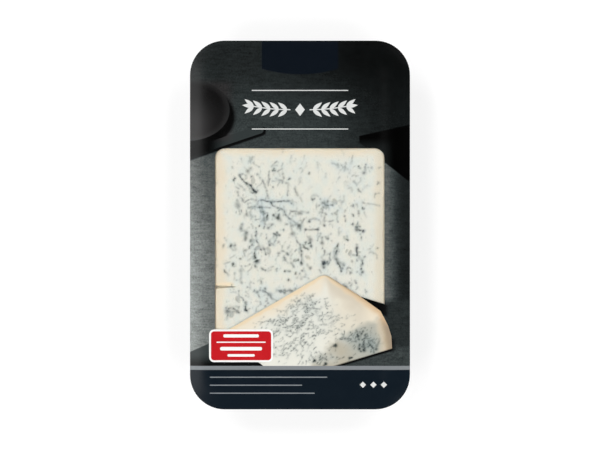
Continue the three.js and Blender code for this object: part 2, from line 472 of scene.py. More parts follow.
class Finish:
    """A material on Object coordinates in millimetres. Each finish paints itself when it is made."""

    name = "finish"

    def __init__(self) -> None:
        """Makes the material with its surface shader and paints it."""
        self.material = bpy.data.materials.new(self.name)
        self.material.use_nodes = True
        self.tree = self.material.node_tree
        self.tree.nodes.clear()
        self.surface = self.add("ShaderNodeBsdfPrincipled")
        self.out = self.add("ShaderNodeOutputMaterial", None, {"Surface": self.surface.outputs[0]})
        coords = self.add("ShaderNodeTexCoord")
        scaled = {0: coords.outputs["Object"], "Scale": 1.0 / MM}
        self.place = self.add("ShaderNodeVectorMath", {"operation": "SCALE"}, scaled).outputs[0]
        axes = self.add("ShaderNodeSeparateXYZ", None, {0: self.place})
        self.x, self.y = (Val(self, axes.outputs[axis]) for axis in "XY")
        self.paint()

    def paint(self) -> None:
        """Sets the surface's sockets."""

    def add(
        self,
        kind: str,
        settings: dict[str, object] | None = None,
        sockets: dict[str | int, object] | None = None,
    ) -> bpy.types.Node:
        """Adds a node.

        Args:
            kind: The node's type.
            settings: Its own settings, set first.
            sockets: Values or links of its inputs, by name or number.

        Returns:
            The node.
        """
        node = self.tree.nodes.new(kind)
        for key, value in (settings or {}).items():
            setattr(node, key, value)
        for key, value in (sockets or {}).items():
            self.feed(node.inputs[key], value)
        return node

    def feed(self, socket: bpy.types.NodeSocket, value: object) -> None:
        """Links a socket or sets its value.

        Args:
            socket: The input to feed.
            value: A wrapped socket, a socket or a plain value.
        """
        source = value.socket if isinstance(value, Val) else value
        if isinstance(source, bpy.types.NodeSocket):
            self.tree.links.new(source, socket)
        else:
            socket.default_value = source

    def set_surface(self, **values: object) -> None:
        """Feeds the surface shader's sockets, named with underscores for spaces."""
        for key, value in values.items():
            self.feed(self.surface.inputs[key.replace("_", " ")], value)

    def math(self, operation: str, *operands: "Val | float") -> Val:
        """Adds a Math node and returns its result."""
        node = self.add("ShaderNodeMath", {"operation": operation}, dict(enumerate(operands)))
        return Val(self, node.outputs[0])

    def noise(
        self,
        scale: float,
        detail: float = 3.0,
        rough: float = 0.5,
        stretch: Sequence[float] = (1, 1, 1),
    ) -> Val:
        """Noise between 0 and 1.

        Args:
            scale: Bumps per millimetre.
            detail: Finer layers.
            rough: Strength of the finer layers.
            stretch: Factors on the three axes before the noise is read.

        Returns:
            The noise.
        """
        stretched = {0: self.place, 1: tuple(stretch)}
        place = self.add("ShaderNodeVectorMath", {"operation": "MULTIPLY"}, stretched).outputs[0]
        sockets = {"Vector": place, "Scale": scale, "Detail": detail, "Roughness": rough}
        return Val(self, self.add("ShaderNodeTexNoise", None, sockets).outputs[0])

    def smooth(self, value: Val, start: float, end: float) -> Val:
        """A soft step from 0 at start to 1 at end, which may be the lower of the two.

        Args:
            value: The number that runs.
            start: Where the step is 0.
            end: Where it is 1.

        Returns:
            The step.
        """
        low, high = min(start, end), max(start, end)
        ends = (0.0, 1.0) if start < end else (1.0, 0.0)
        sockets = {"Value": value, "From Min": low, "From Max": high}
        sockets |= {"To Min": ends[0], "To Max": ends[1]}
        node = self.add("ShaderNodeMapRange", {"interpolation_type": "SMOOTHSTEP"}, sockets)
        return Val(self, node.outputs[0])

    def mix(self, amount: Val | float, first: object, second: object) -> bpy.types.NodeSocket:
        """Mixes two colours, all first at 0 and all second at 1."""
        sockets = {0: amount, 6: first, 7: second}
        return self.add("ShaderNodeMix", {"data_type": "RGBA"}, sockets).outputs[2]

    def tinted(self, value: Val, tint: Sequence[float]) -> bpy.types.NodeSocket:
        """A colour as bright as a value, in one tint."""
        sockets = {0: tuple(tint), "Scale": value}
        return self.add("ShaderNodeVectorMath", {"operation": "SCALE"}, sockets).outputs[0]

    def stored(self, name: str) -> Val:
        """The numbers stored on a piece's corners under a name."""
        node = self.add("ShaderNodeAttribute", {"attribute_name": name})
        return Val(self, node.outputs["Fac"])

    def bump(self, height: Val, depth: float, strength: float = 1.0) -> bpy.types.NodeSocket:
        """A relief in the shading.

        Args:
            height: Height between 0 and 1.
            depth: Depth in millimetres.
            strength: Share of the relief that shows.

        Returns:
            The normal.
        """
        sockets = {"Height": height, "Distance": depth * MM, "Strength": strength}
        return self.add("ShaderNodeBump", None, sockets).outputs[0]

    def dress(self, piece: bpy.types.Object) -> None:
        """Puts this finish alone on a piece."""
        piece.data.materials.clear()
        piece.data.materials.append(self.material)


def blend(first: Val | float, second: Val | float, amount: Val) -> Val:
    """A number that goes from first to second as amount goes from 0 to 1."""
    return first + (second - first) * amount


class TrayPlastic(Finish):
    """Black formed sheet with a fine satin grain and faint rub marks."""

    name = "tray_plastic"
    body_tones = (srgb(15, 17, 18), srgb(26, 28, 30))
    rub_tone = srgb(58, 60, 62)

    def paint(self) -> None:
        """Sets colour, sheen and grain."""
        cloud = self.noise(0.06, 3.0)
        grain = self.noise(5.0, 2.0)
        rub = self.smooth(self.noise(0.35, 5.0, 0.7, (1.0, 1.0, 0.25)), 0.58, 0.78)
        body = self.mix(cloud, *self.body_tones)
        colour = self.mix(rub * 0.35, body, self.rub_tone)
        self.set_surface(
            Base_Color=colour,
            Roughness=0.3 + 0.14 * cloud + 0.14 * rub,
            Normal=self.bump(grain, 0.03, 0.35),
        )


class CheesePaste(Finish):
    """Pale paste, warmer at its margins, with dark veins in blue-grey mist and a tan rind whose tone is
    painted lighter, as painted light against the shadow that the printed layer's edge casts on the slab's
    margin.
    """

    name = "cheese_paste"
    margin_tones = (srgb(225, 214, 191), srgb(229, 220, 201))
    right_painted_shade = srgb(213, 208, 191)
    middle_tones = (srgb(216, 217, 206), srgb(231, 227, 214))
    cool_tone = srgb(208, 218, 213)
    rind_and_painted_light_tone = srgb(240, 222, 190)
    mist_tone = srgb(188, 206, 214)
    smear_tone = srgb(128, 146, 140)
    vein_tones = (srgb(28, 40, 32), srgb(38, 48, 56))

    def paint(self) -> None:
        """Mixes paste, rind, mist, smears and veins by what is stored on the slab."""
        cloud = self.noise(0.11, 4.0)
        crumb = self.noise(1.1, 4.0, 0.6)
        speck = self.noise(2.4, 3.0, 0.65)
        zone = self.smooth(self.stored("zone") + (cloud - 0.5) * 0.7, 0.15, 0.85)
        margin = self.mix(cloud, *self.margin_tones)
        # Painted shade: the margin is mixed towards a darker, greyer tone on the right side of the slab.
        shaded = self.mix(self.smooth(self.x, 30.0, 40.0) * 0.8, margin, self.right_painted_shade)
        middle = self.mix(crumb, *self.middle_tones)
        cool = self.smooth(self.noise(0.2, 3.0, 0.55, (1.2, 0.8, 1.0)), 0.42, 0.66) * zone
        paste = self.mix(cool * 0.4, self.mix(zone, shaded, middle), self.cool_tone)
        rind = self.smooth(self.stored("rind") + (crumb - 0.5) * 0.35, 0.1, 0.95)
        # The rind's tone is partly real tan rind and partly painted light: it is made lighter to fill the
        # shadow that the printed layer's edge casts on the slab's margin.
        edged = self.mix(rind * 0.8, paste, self.rind_and_painted_light_tone)
        mist = self.stored("halo") * (0.6 + 0.8 * crumb)
        misted = self.mix(mist.least(1.0), edged, self.mist_tone)
        smear = self.stored("smear") * (0.5 + 1.0 * crumb)
        smeared = self.mix(smear.least(1.0), misted, self.smear_tone)
        dash = self.smooth(self.noise(0.8, 3.0, 0.55, (1.5, 0.7, 1.0)), 0.58, 0.74) * zone
        vein = (self.stored("vein") * (0.2 + 1.6 * speck)).most(dash * 0.3).least(1.0)
        dark = self.mix(self.smooth(cloud, 0.4, 0.6), *self.vein_tones)
        veined = self.mix(vein, smeared, dark)
        relief = crumb * 0.6 + speck * 0.4 - vein * 0.5
        self.set_surface(
            Base_Color=veined,
            Roughness=0.42 + 0.2 * crumb,
            Normal=self.bump(relief, 0.14, 0.45),
            Specular_IOR_Level=0.35,
            Subsurface_Weight=0.3,
            Subsurface_Radius=(1.0, 0.8, 0.6),
            Subsurface_Scale=MM,
        )


class ClearFilm(Finish):
    """Clear glossy film: see-through, with reflections that grow at low angles."""

    name = "clear_film"
    tint = srgb(250, 252, 253)
    straight_sheen = 0.008
    low_sheen = 0.35

    def paint(self) -> None:
        """Mixes a clear pass with a mirror-like sheen."""
        self.set_surface(Base_Color=self.tint, Metallic=1.0, Roughness=0.09)
        clear = self.add("ShaderNodeBsdfTransparent", None, {"Color": (1.0, 1.0, 1.0, 1.0)})
        weight = self.add("ShaderNodeLayerWeight", None, {"Blend": 0.5})
        facing = Val(self, weight.outputs["Facing"])
        square = facing * facing
        sheen = self.straight_sheen + self.low_sheen * square * square * facing
        parts = {0: sheen, 1: clear.outputs[0], 2: self.surface.outputs[0]}
        mixed = self.add("ShaderNodeMixShader", None, parts)
        self.feed(self.out.inputs["Surface"], mixed.outputs[0])


class Lacquer(Finish):
    """Print under a satin lacquer: what all printed fields share."""

    name = "lacquer"
    satin = 0.19
    unevenness = 0.05
    gloss = 0.3

    def lacquered(self, colour: object) -> None:
        """Sets a printed colour with the lacquer's sheen.

        Args:
            colour: The ink's colour, varied or plain.
        """
        ripple = self.noise(0.22, 2.0)
        self.set_surface(
            Base_Color=colour,
            Roughness=self.satin + self.unevenness * ripple,
            Specular_IOR_Level=self.gloss,
        )


@dataclass(frozen=True)
class PlainInk:
    """A plain printed ink: its two shades and how fine their cloud and grain are."""

    name: str
    main: Colour
    other: Colour
    cloud: float = 0.12
    grain: float = 3.0


class InkPrint(Lacquer):
    """One plain ink with a faint cloud and print grain."""

    def __init__(self, ink: PlainInk) -> None:
        """Keeps the ink's values and paints it.

        Args:
            ink: The ink to print with.
        """
        self.ink = ink
        self.name = ink.name
        super().__init__()

    def paint(self) -> None:
        """Mixes the ink's two shades."""
        cloud = self.noise(self.ink.cloud, 3.0)
        grain = self.noise(self.ink.grain, 2.0)
        self.lacquered(self.mix(cloud * 0.7 + grain * 0.3, self.ink.main, self.ink.other))


BAND_INK = PlainInk("band_ink", srgb(11, 21, 30), srgb(19, 29, 37))
STRIPE_INK = PlainInk("stripe_ink", srgb(122, 127, 130), srgb(138, 142, 145), 0.05, 1.2)
RED_INK = PlainInk("red_ink", srgb(186, 24, 32), srgb(200, 34, 40))
WHITE_INK = PlainInk("white_ink", srgb(240, 238, 236), srgb(250, 249, 248))
PALE_INK = PlainInk("pale_ink", srgb(206, 208, 207), srgb(224, 225, 223))
GREY_INK = PlainInk("grey_ink", srgb(120, 126, 131), srgb(140, 146, 150))


WEDGE_FOOT_LINE: tuple[Point, Point] = ((17.5, -66.9), (43.9, -59.0))


class SlatePrint(Lacquer):
    """Printed slate: dark above, paler down the left side, with a round board and a handle on it."""

    name = "slate_print"
    deep = (0.84, 1.05, 1.06)
    pale = (0.96, 1.04, 1.0)
    warm = (1.02, 0.99, 1.0)
    plaque_tone = srgb(10, 17, 25)
    plaque_side = (18.4, 18.0)
    plaque_foot = (71.6, 72.2)
    plaque_bow = 0.008
    left_edge = -52.5
    left_fade = 5.5
    window_edge = 40.3
    right_fade = 4.6
    disc_middle = (-53.5, 54.9)
    disc_reach = (20.0, 14.8)
    shadow_middle = (-51.0, 51.5)
    shadow_reach = (20.5, 15.5)
    grip_ends = ((-55.0, 33.6), (-19.3, 45.6))
    grip_shadow = ((-55.0, 32.3), (-18.6, 44.8))
    tablet_upper = ((28.0, 42.4), (52.2, 47.8))
    tablet_lower = ((40.3, 29.9), (52.2, 20.6))
    ground_edge = ((-52.5, -60.5), (-43.5, -56.5))
    sliver_upper = ((28.9, -34.2), (40.3, -37.8))
    sliver_lower = ((28.9, -34.2), (38.4, -41.0))

    def ellipse(self, centre: Point, reach: Point) -> Val:
        """Distance from an ellipse's middle, 1 on its edge.

        Args:
            centre: Its middle.
            reach: Its half sizes along X and Y.

        Returns:
            The distance.
        """
        dx = (self.x - centre[0]) / reach[0]
        dy = (self.y - centre[1]) / reach[1]
        return (dx * dx + dy * dy).root()

    def above(self, first: Point, second: Point) -> Val:
        """Height over the line through two points."""
        slope = (second[1] - first[1]) / (second[0] - first[0])
        return self.y - (self.x - first[0]) * slope - first[1]

    def capsule(self, first: Point, second: Point) -> Val:
        """Distance from a straight stretch between two points.

        Args:
            first: One end of the stretch.
            second: Its other end.

        Returns:
            The distance in millimetres.
        """
        span = Vector((second[0] - first[0], second[1] - first[1]))
        dx, dy = self.x - first[0], self.y - first[1]
        along = (dx * span.x + dy * span.y) / span.length_squared
        part = along.most(0.0).least(1.0)
        rx, ry = dx - part * span.x, dy - part * span.y
        return (rx * rx + ry * ry).root()

    def stone(self) -> Val:
        """Brightness of the bare slate.

        Returns:
            The brightness in linear light.
        """
        x, y = self.x, self.y
        down = self.smooth(y, 46.0, -34.0)
        leftward = self.smooth(x, 30.0, -20.0)
        downward = self.smooth(y, 80.0, 40.0)
        head = 0.003 + 0.012 * leftward + downward * (0.005 + 0.024 * self.smooth(x, 46.0, 6.0))
        edge = (-(x - self.left_edge) / self.left_fade).exp()
        left = 0.058 + 0.09 * down + (0.078 + 0.095 * down) * edge
        away = (x - self.window_edge) / self.right_fade
        right = 0.012 + 0.095 * (-away * away).exp()
        value = blend(head, left, self.smooth(x, -26.0, -44.0) * self.smooth(y, 50.0, 28.0))
        beside = self.smooth(x, 34.0, 40.0) * self.smooth(y, 40.0, 30.0) * self.smooth(y, -40.0, -36.0)
        value = blend(value, right, beside)
        ground = 0.024 + 0.022 * self.smooth(y, -55.0, -61.0)
        return blend(value, ground, self.smooth(x, -30.0, 0.0) * self.smooth(y, -34.0, -38.0))

    def board(self, value: Val) -> Val:
        """Lays a dark round board with its shadow and a handle below it over the slate.

        Args:
            value: Brightness of what lies below.

        Returns:
            The brightness with it laid on.
        """
        shadow = self.smooth(self.ellipse(self.shadow_middle, self.shadow_reach), 1.04, 0.92)
        value = value * (1.0 - shadow * 0.97)
        grip = self.capsule(*self.grip_ends)
        under = self.capsule(*self.grip_shadow)
        value = value * (1.0 - self.smooth(under, 2.9, 1.9) * 0.95)
        wood = 0.001 + 0.034 * self.smooth(self.x, -44.0, -33.0)
        value = blend(value, wood, self.smooth(grip, 2.15, 1.85))
        disc = self.ellipse(self.disc_middle, self.disc_reach)
        rim = self.smooth(disc, 0.82, 0.99)
        low = self.smooth(self.y, 63.0, 48.0)
        leftward = self.smooth(self.x, -38.0, -50.0)
        face = 0.005 + 0.005 * low + (0.004 + 0.02 * low) * leftward + 0.01 * rim
        return blend(value, face, self.smooth(disc, 1.01, 0.98))

    def corner(self, value: Val) -> Val:
        """Lays a black corner of a tablet over the slate at the right.

        Args:
            value: Brightness of what lies below.

        Returns:
            The brightness with it laid on.
        """
        below = self.smooth(self.above(*self.tablet_upper), 0.25, -0.25)
        over = self.smooth(self.above(*self.tablet_lower), -0.35, 0.35)
        inside = self.smooth(self.x, 27.9, 28.6)
        tone = 0.009 * self.smooth(self.x, 45.5, 38.0) * self.smooth(self.y, 42.0, 36.0)
        return blend(value, tone, below * over * inside)

    def lower(self, value: Val) -> Val:
        """Darkens the ground under the printed wedge and the badge.

        Args:
            value: Brightness of what lies below.

        Returns:
            The brightness with it laid on.
        """
        field = self.smooth(self.above(*self.ground_edge), 0.3, -0.3)
        ground = 0.04 * self.smooth(self.y, -67.0, -61.0) + 0.002
        value = blend(value, ground, field * self.smooth(self.x, -8.0, -14.0))
        sliver = self.smooth(self.above(*self.sliver_upper), 0.2, -0.2)
        sliver = sliver * self.smooth(self.above(*self.sliver_lower), -1.5, -0.2)
        value = value * (1.0 - sliver * self.smooth(self.x, 43.0, 40.0) * 0.95)
        contact = self.above(*WEDGE_FOOT_LINE)
        shade = self.smooth(contact, -1.8, -0.6) * self.smooth(contact, 6.0, 3.0)
        run = self.smooth(self.x, 0.0, 14.0) * self.smooth(self.x, 47.0, 43.0)
        return value * (1.0 - shade * 0.95 * run)

    def paint(self) -> None:
        """Builds the print from the slate up."""
        grain = self.noise(1.3, 5.0, 0.65)
        streak = self.noise(0.7, 4.0, 0.6, (0.22, 1.4, 1.0))
        mottle = self.noise(0.35, 3.0, 0.5)
        rough = 1.6 * (grain - 0.5) + 1.1 * (streak - 0.5) + 0.7 * (mottle - 0.5)
        value = self.stone() * (0.95 + rough).most(0.2)
        value = self.lower(self.corner(self.board(value)))
        foot = self.smooth(self.y - self.x * self.x * self.plaque_bow, *self.plaque_foot)
        plaque = self.smooth(abs(self.x), *self.plaque_side) * foot
        shades = (self.tinted(value, self.deep), self.tinted(value, self.pale))
        slate = self.mix(self.smooth(value, 0.02, 0.12), *shades)
        upright = self.smooth(self.y, 38.0, 42.0) * self.smooth(self.y, 71.0, 66.0)
        warmth = self.smooth(self.x, -30.0, -36.0) * upright
        slate = self.mix(warmth, slate, self.tinted(value, self.warm))
        self.lacquered(self.mix(plaque, slate, self.plaque_tone))


class WedgePrint(Lacquer):
    """Printed wedge: cream top, greyer cut side, tan rind along its crest and end."""

    name = "wedge_print"
    white_tones = (srgb(221, 223, 214), srgb(233, 229, 216))
    right_tones = (srgb(217, 211, 194), srgb(227, 219, 201))
    near_side = srgb(178, 171, 153)
    far_side = (srgb(160, 161, 150), srgb(190, 188, 176))
    cream_tones = (srgb(229, 218, 197), srgb(208, 198, 180))
    tan_tones = (srgb(229, 208, 174), srgb(152, 134, 111))
    rim_tone = srgb(211, 180, 142)
    mist_tones = (srgb(202, 208, 203), srgb(150, 162, 160))
    smear_tone = srgb(120, 133, 130)
    vein_tone = srgb(34, 46, 46)
    shade_tone = srgb(30, 28, 25)

    def paint(self) -> None:
        """Mixes the wedge's faces, rind, mist, smears and veins by what is stored on it."""
        cloud = self.noise(0.2, 4.0)
        crumb = self.noise(1.3, 4.0, 0.65)
        speck = self.noise(2.6, 3.0, 0.65)
        white = self.mix(crumb, *self.white_tones)
        top = self.mix(self.smooth(self.x, 8.0, 22.0), white, self.mix(crumb, *self.right_tones))
        far = self.smooth(self.x + (cloud - 0.5) * 8.0, 19.0, 28.0)
        side = self.mix(far, self.near_side, self.mix(crumb, *self.far_side))
        turn = self.smooth(self.stored("side") + (crumb - 0.5) * 0.4, 0.1, 0.9)
        faces = self.mix(turn * 0.95, top, side)
        shoulder = self.smooth(self.x, 9.0, 15.0) * self.smooth(self.x, 35.0, 27.0)
        warm = self.mix(self.stored("glow") * 0.9, faces, self.mix(shoulder, *self.cream_tones))
        tan = self.mix(self.stored("dusk"), *self.tan_tones)
        uneven = (cloud - 0.5) * 0.3 + (crumb - 0.5) * 0.2
        rind = self.smooth(self.stored("rind") + uneven, 0.1, 0.9)
        edged = self.mix(self.stored("rim"), self.mix(rind * 0.9, warm, tan), self.rim_tone)
        mist = self.stored("halo") * (0.6 + 0.8 * crumb)
        misted = self.mix(mist.least(1.0), edged, self.mix(far, *self.mist_tones))
        smear = self.stored("smear") * (0.5 + 1.0 * crumb)
        smeared = self.mix(smear.least(1.0), misted, self.smear_tone)
        vein = (self.stored("vein") * (0.3 + 1.4 * speck)).least(1.0)
        veined = self.mix(vein, smeared, self.vein_tone)
        self.lacquered(self.mix(self.stored("shade"), veined, self.shade_tone))


@dataclass(frozen=True)
class Front:
    """The outline of the pack's front and the heights of its rim and lid, shared by all layers.

    An inset is a distance in from the pack's outer edge.
    """

    width: float
    length: float
    rim_top: float
    corner: float = 16.5
    corner_steps: int = 16
    rim_width: float = 9.0
    droop: float = 0.9
    sag: float = 0.3
    sag_width: float = 6.5
    rim_steps: int = 8
    sag_steps: int = 6

    @classmethod
    def from_frame(cls) -> "Front":
        """Takes the outline and the rim's height from the tray's solid."""
        low, high = (np.array(corner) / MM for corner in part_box("tray"))
        return cls(float(high[0] - low[0]), float(high[1] - low[1]), float(high[2]))

    def rim_height(self, inset: np.ndarray | float) -> np.ndarray | float:
        """Height of the rim's upper face, which rolls down outwards."""
        outward = np.clip(1.0 - np.asarray(inset) / self.rim_width, 0.0, 1.0)
        return self.rim_top - self.droop * outward**2

    def lid_height(self, inset: np.ndarray | float) -> np.ndarray | float:
        """Height of the lid's underside, which sags a little inside the rim."""
        inward = np.clip((np.asarray(inset) - self.rim_width) / self.sag_width, 0.0, 1.0)
        return self.rim_height(inset) - self.sag * inward**2 * (3.0 - 2.0 * inward)

    def inset_at(self, places: np.ndarray) -> np.ndarray:
        """Inset of places given as rows of X and Y.

        Args:
            places: The rows.

        Returns:
            One inset for each row.
        """
        half = np.array([self.width / 2, self.length / 2]) - self.corner
        beyond = np.abs(places[:, :2]) - half
        outside = np.hypot(*np.maximum(beyond, 0.0).T)
        inside = np.minimum(beyond.max(axis=1), 0.0)
        return self.corner - outside - inside

    def sheet(self, name: str, lift: float, thickness: float) -> bpy.types.Object:
        """Makes one layer of the lid.

        Args:
            name: The layer's name.
            lift: Height of its upper face over the lid's underside.
            thickness: How thick it is.

        Returns:
            The layer as a closed sheet.
        """
        rim = np.linspace(0.0, self.rim_width, self.rim_steps + 1)
        sag = np.linspace(self.rim_width, self.rim_width + self.sag_width, self.sag_steps + 1)
        insets = [*rim, *sag[1:]]
        height = float(self.lid_height(0.0)) + lift
        size = (self.width, self.length)
        piece = Bench.rounded_plate(name, *size, height, self.corner, self.corner_steps)
        for outer, inner in pairwise(insets):
            rise = float(self.lid_height(inner) - self.lid_height(outer))
            bpy.ops.mesh.inset(thickness=(inner - outer) * MM, depth=rise * MM)
        Bench.modifier(piece, "SOLIDIFY", thickness=thickness * MM, offset=-1.0, use_even_offset=True)
        return piece


@dataclass
class Tray:
    """The formed tray: rim, leaning walls, a flat foot and a raised floor panel."""

    front: Front
    sheet: float = 0.8
    mouth_radius: float = 1.2
    draft: float = 1.3
    floor_radius: float = 4.0
    foot_width: float = 7.0
    panel_rise: float = 1.0
    panel_slope: float = 1.5
    panel_corner: float = 3.0
    bend_steps: int = 6

    def profile(self) -> list[tuple[float, float]]:
        """Insets and heights of the inner face, from the rim's edge to the end of the floor's bend.

        Returns:
            Pairs of an inset and a height.
        """
        front = self.front
        mouth = front.rim_width - self.mouth_radius
        steps = np.linspace(0.0, mouth, front.rim_steps + 1)
        rim = [(float(inset), float(front.rim_height(inset))) for inset in steps]
        turn = np.radians(np.linspace(90.0, 0.0, self.bend_steps + 1))[1:]
        radius = self.mouth_radius
        top = front.rim_top - radius
        lip = [(mouth + radius * math.cos(a), top + radius * math.sin(a)) for a in turn]
        bend = np.radians(np.linspace(180.0, 270.0, self.bend_steps + 1))
        radius = self.floor_radius
        middle = (front.rim_width + self.draft + radius, self.sheet + radius)
        floor = [(middle[0] + radius * math.cos(a), middle[1] + radius * math.sin(a)) for a in bend]
        return [*rim, *lip, *floor]

    def build(self) -> bpy.types.Object:
        """Models the tray from its rim down and gives the sheet its thickness.

        Returns:
            The tray as one closed sheet.
        """
        front = self.front
        profile = self.profile()
        piece = Bench.rounded_plate(
            "tray_shell", front.width, front.length, profile[0][1], front.corner, front.corner_steps
        )
        for (outer, upper), (inner, lower) in pairwise(profile):
            bpy.ops.mesh.inset(thickness=(inner - outer) * MM, depth=(lower - upper) * MM)
        bpy.ops.mesh.delete(type="ONLY_FACE")
        self.add_panel(profile[-1][0] + self.foot_width)
        ring = self.sheet + self.panel_rise / 2
        bpy.ops.mesh.select_mode(type=Domain.EDGE.value)
        bpy.ops.mesh.select_all(action="DESELECT")
        bpy.ops.mesh.select_non_manifold(extend=False, use_wire=True, use_boundary=True)
        self.drop_rim_edge(piece, ring)
        bpy.ops.mesh.bridge_edge_loops()
        Bench.modifier(piece, "SOLIDIFY", thickness=self.sheet * MM, offset=-1.0, use_even_offset=True)
        return piece

    def add_panel(self, inset: float) -> None:
        """Adds the raised floor panel as a loose plate inside the open floor.

        Args:
            inset: Inset of the panel's outer edge.
        """
        front = self.front
        bpy.ops.mesh.select_all(action="DESELECT")
        bpy.ops.mesh.select_mode(type=Domain.VERTEX.value)
        bpy.ops.mesh.primitive_plane_add(size=1.0)
        size = ((front.width - 2 * inset) * MM, (front.length - 2 * inset) * MM, 1.0)
        bpy.ops.transform.resize(value=size)
        bpy.ops.transform.translate(value=(0.0, 0.0, self.sheet * MM))
        bpy.ops.mesh.bevel(
            offset=self.panel_corner * MM, segments=front.corner_steps, affect="VERTICES"
        )
        bpy.ops.mesh.select_linked()
        bpy.ops.mesh.select_mode(type=Domain.FACE.value)
        bpy.ops.mesh.inset(thickness=self.panel_slope * MM, depth=self.panel_rise * MM)

    @staticmethod
    def drop_rim_edge(piece: bpy.types.Object, height: float) -> None:
        """Deselects the open edges above a height, which are the rim's.

        Args:
            piece: The tray in edit mode.
            height: The height in millimetres.
        """
        shape = bmesh.from_edit_mesh(piece.data)
        for edge in shape.edges:
            if edge.select and edge.verts[0].co.z > height * MM:
                edge.select_set(False)
        bmesh.update_edit_mesh(piece.data)

    def dress(self) -> bpy.types.Object:
        """Builds the tray, finishes it and lets it stand for its solid.

        Returns:
            The finished tray.
        """
        piece = Bench.finish(self.build(), "tray", 40.0)
        TrayPlastic().dress(piece)
        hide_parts("tray")
        return piece


@dataclass(frozen=True)
class VeinPatch:
    """A patch of fine veins: its middle, spread, lean, number of strokes, darkness and mist."""

    x: float
    y: float
    spread_x: float
    spread_y: float
    lean: float
    strokes: int
    dark: float
    mist: float = 0.5
    stretch: float = 1.0


@dataclass(frozen=True)
class Route:
    """A main vein: its darkness, radius, mist and the points it runs through, the last its darkest."""

    dark: float
    radius: float
    mist: float
    points: tuple[Point, ...]


@dataclass(frozen=True)
class Stroke:
    """One vein as drawn: its points, the radius and darkness at each, and how much mist surrounds it."""

    points: np.ndarray
    radii: np.ndarray
    darks: np.ndarray
    mist: float


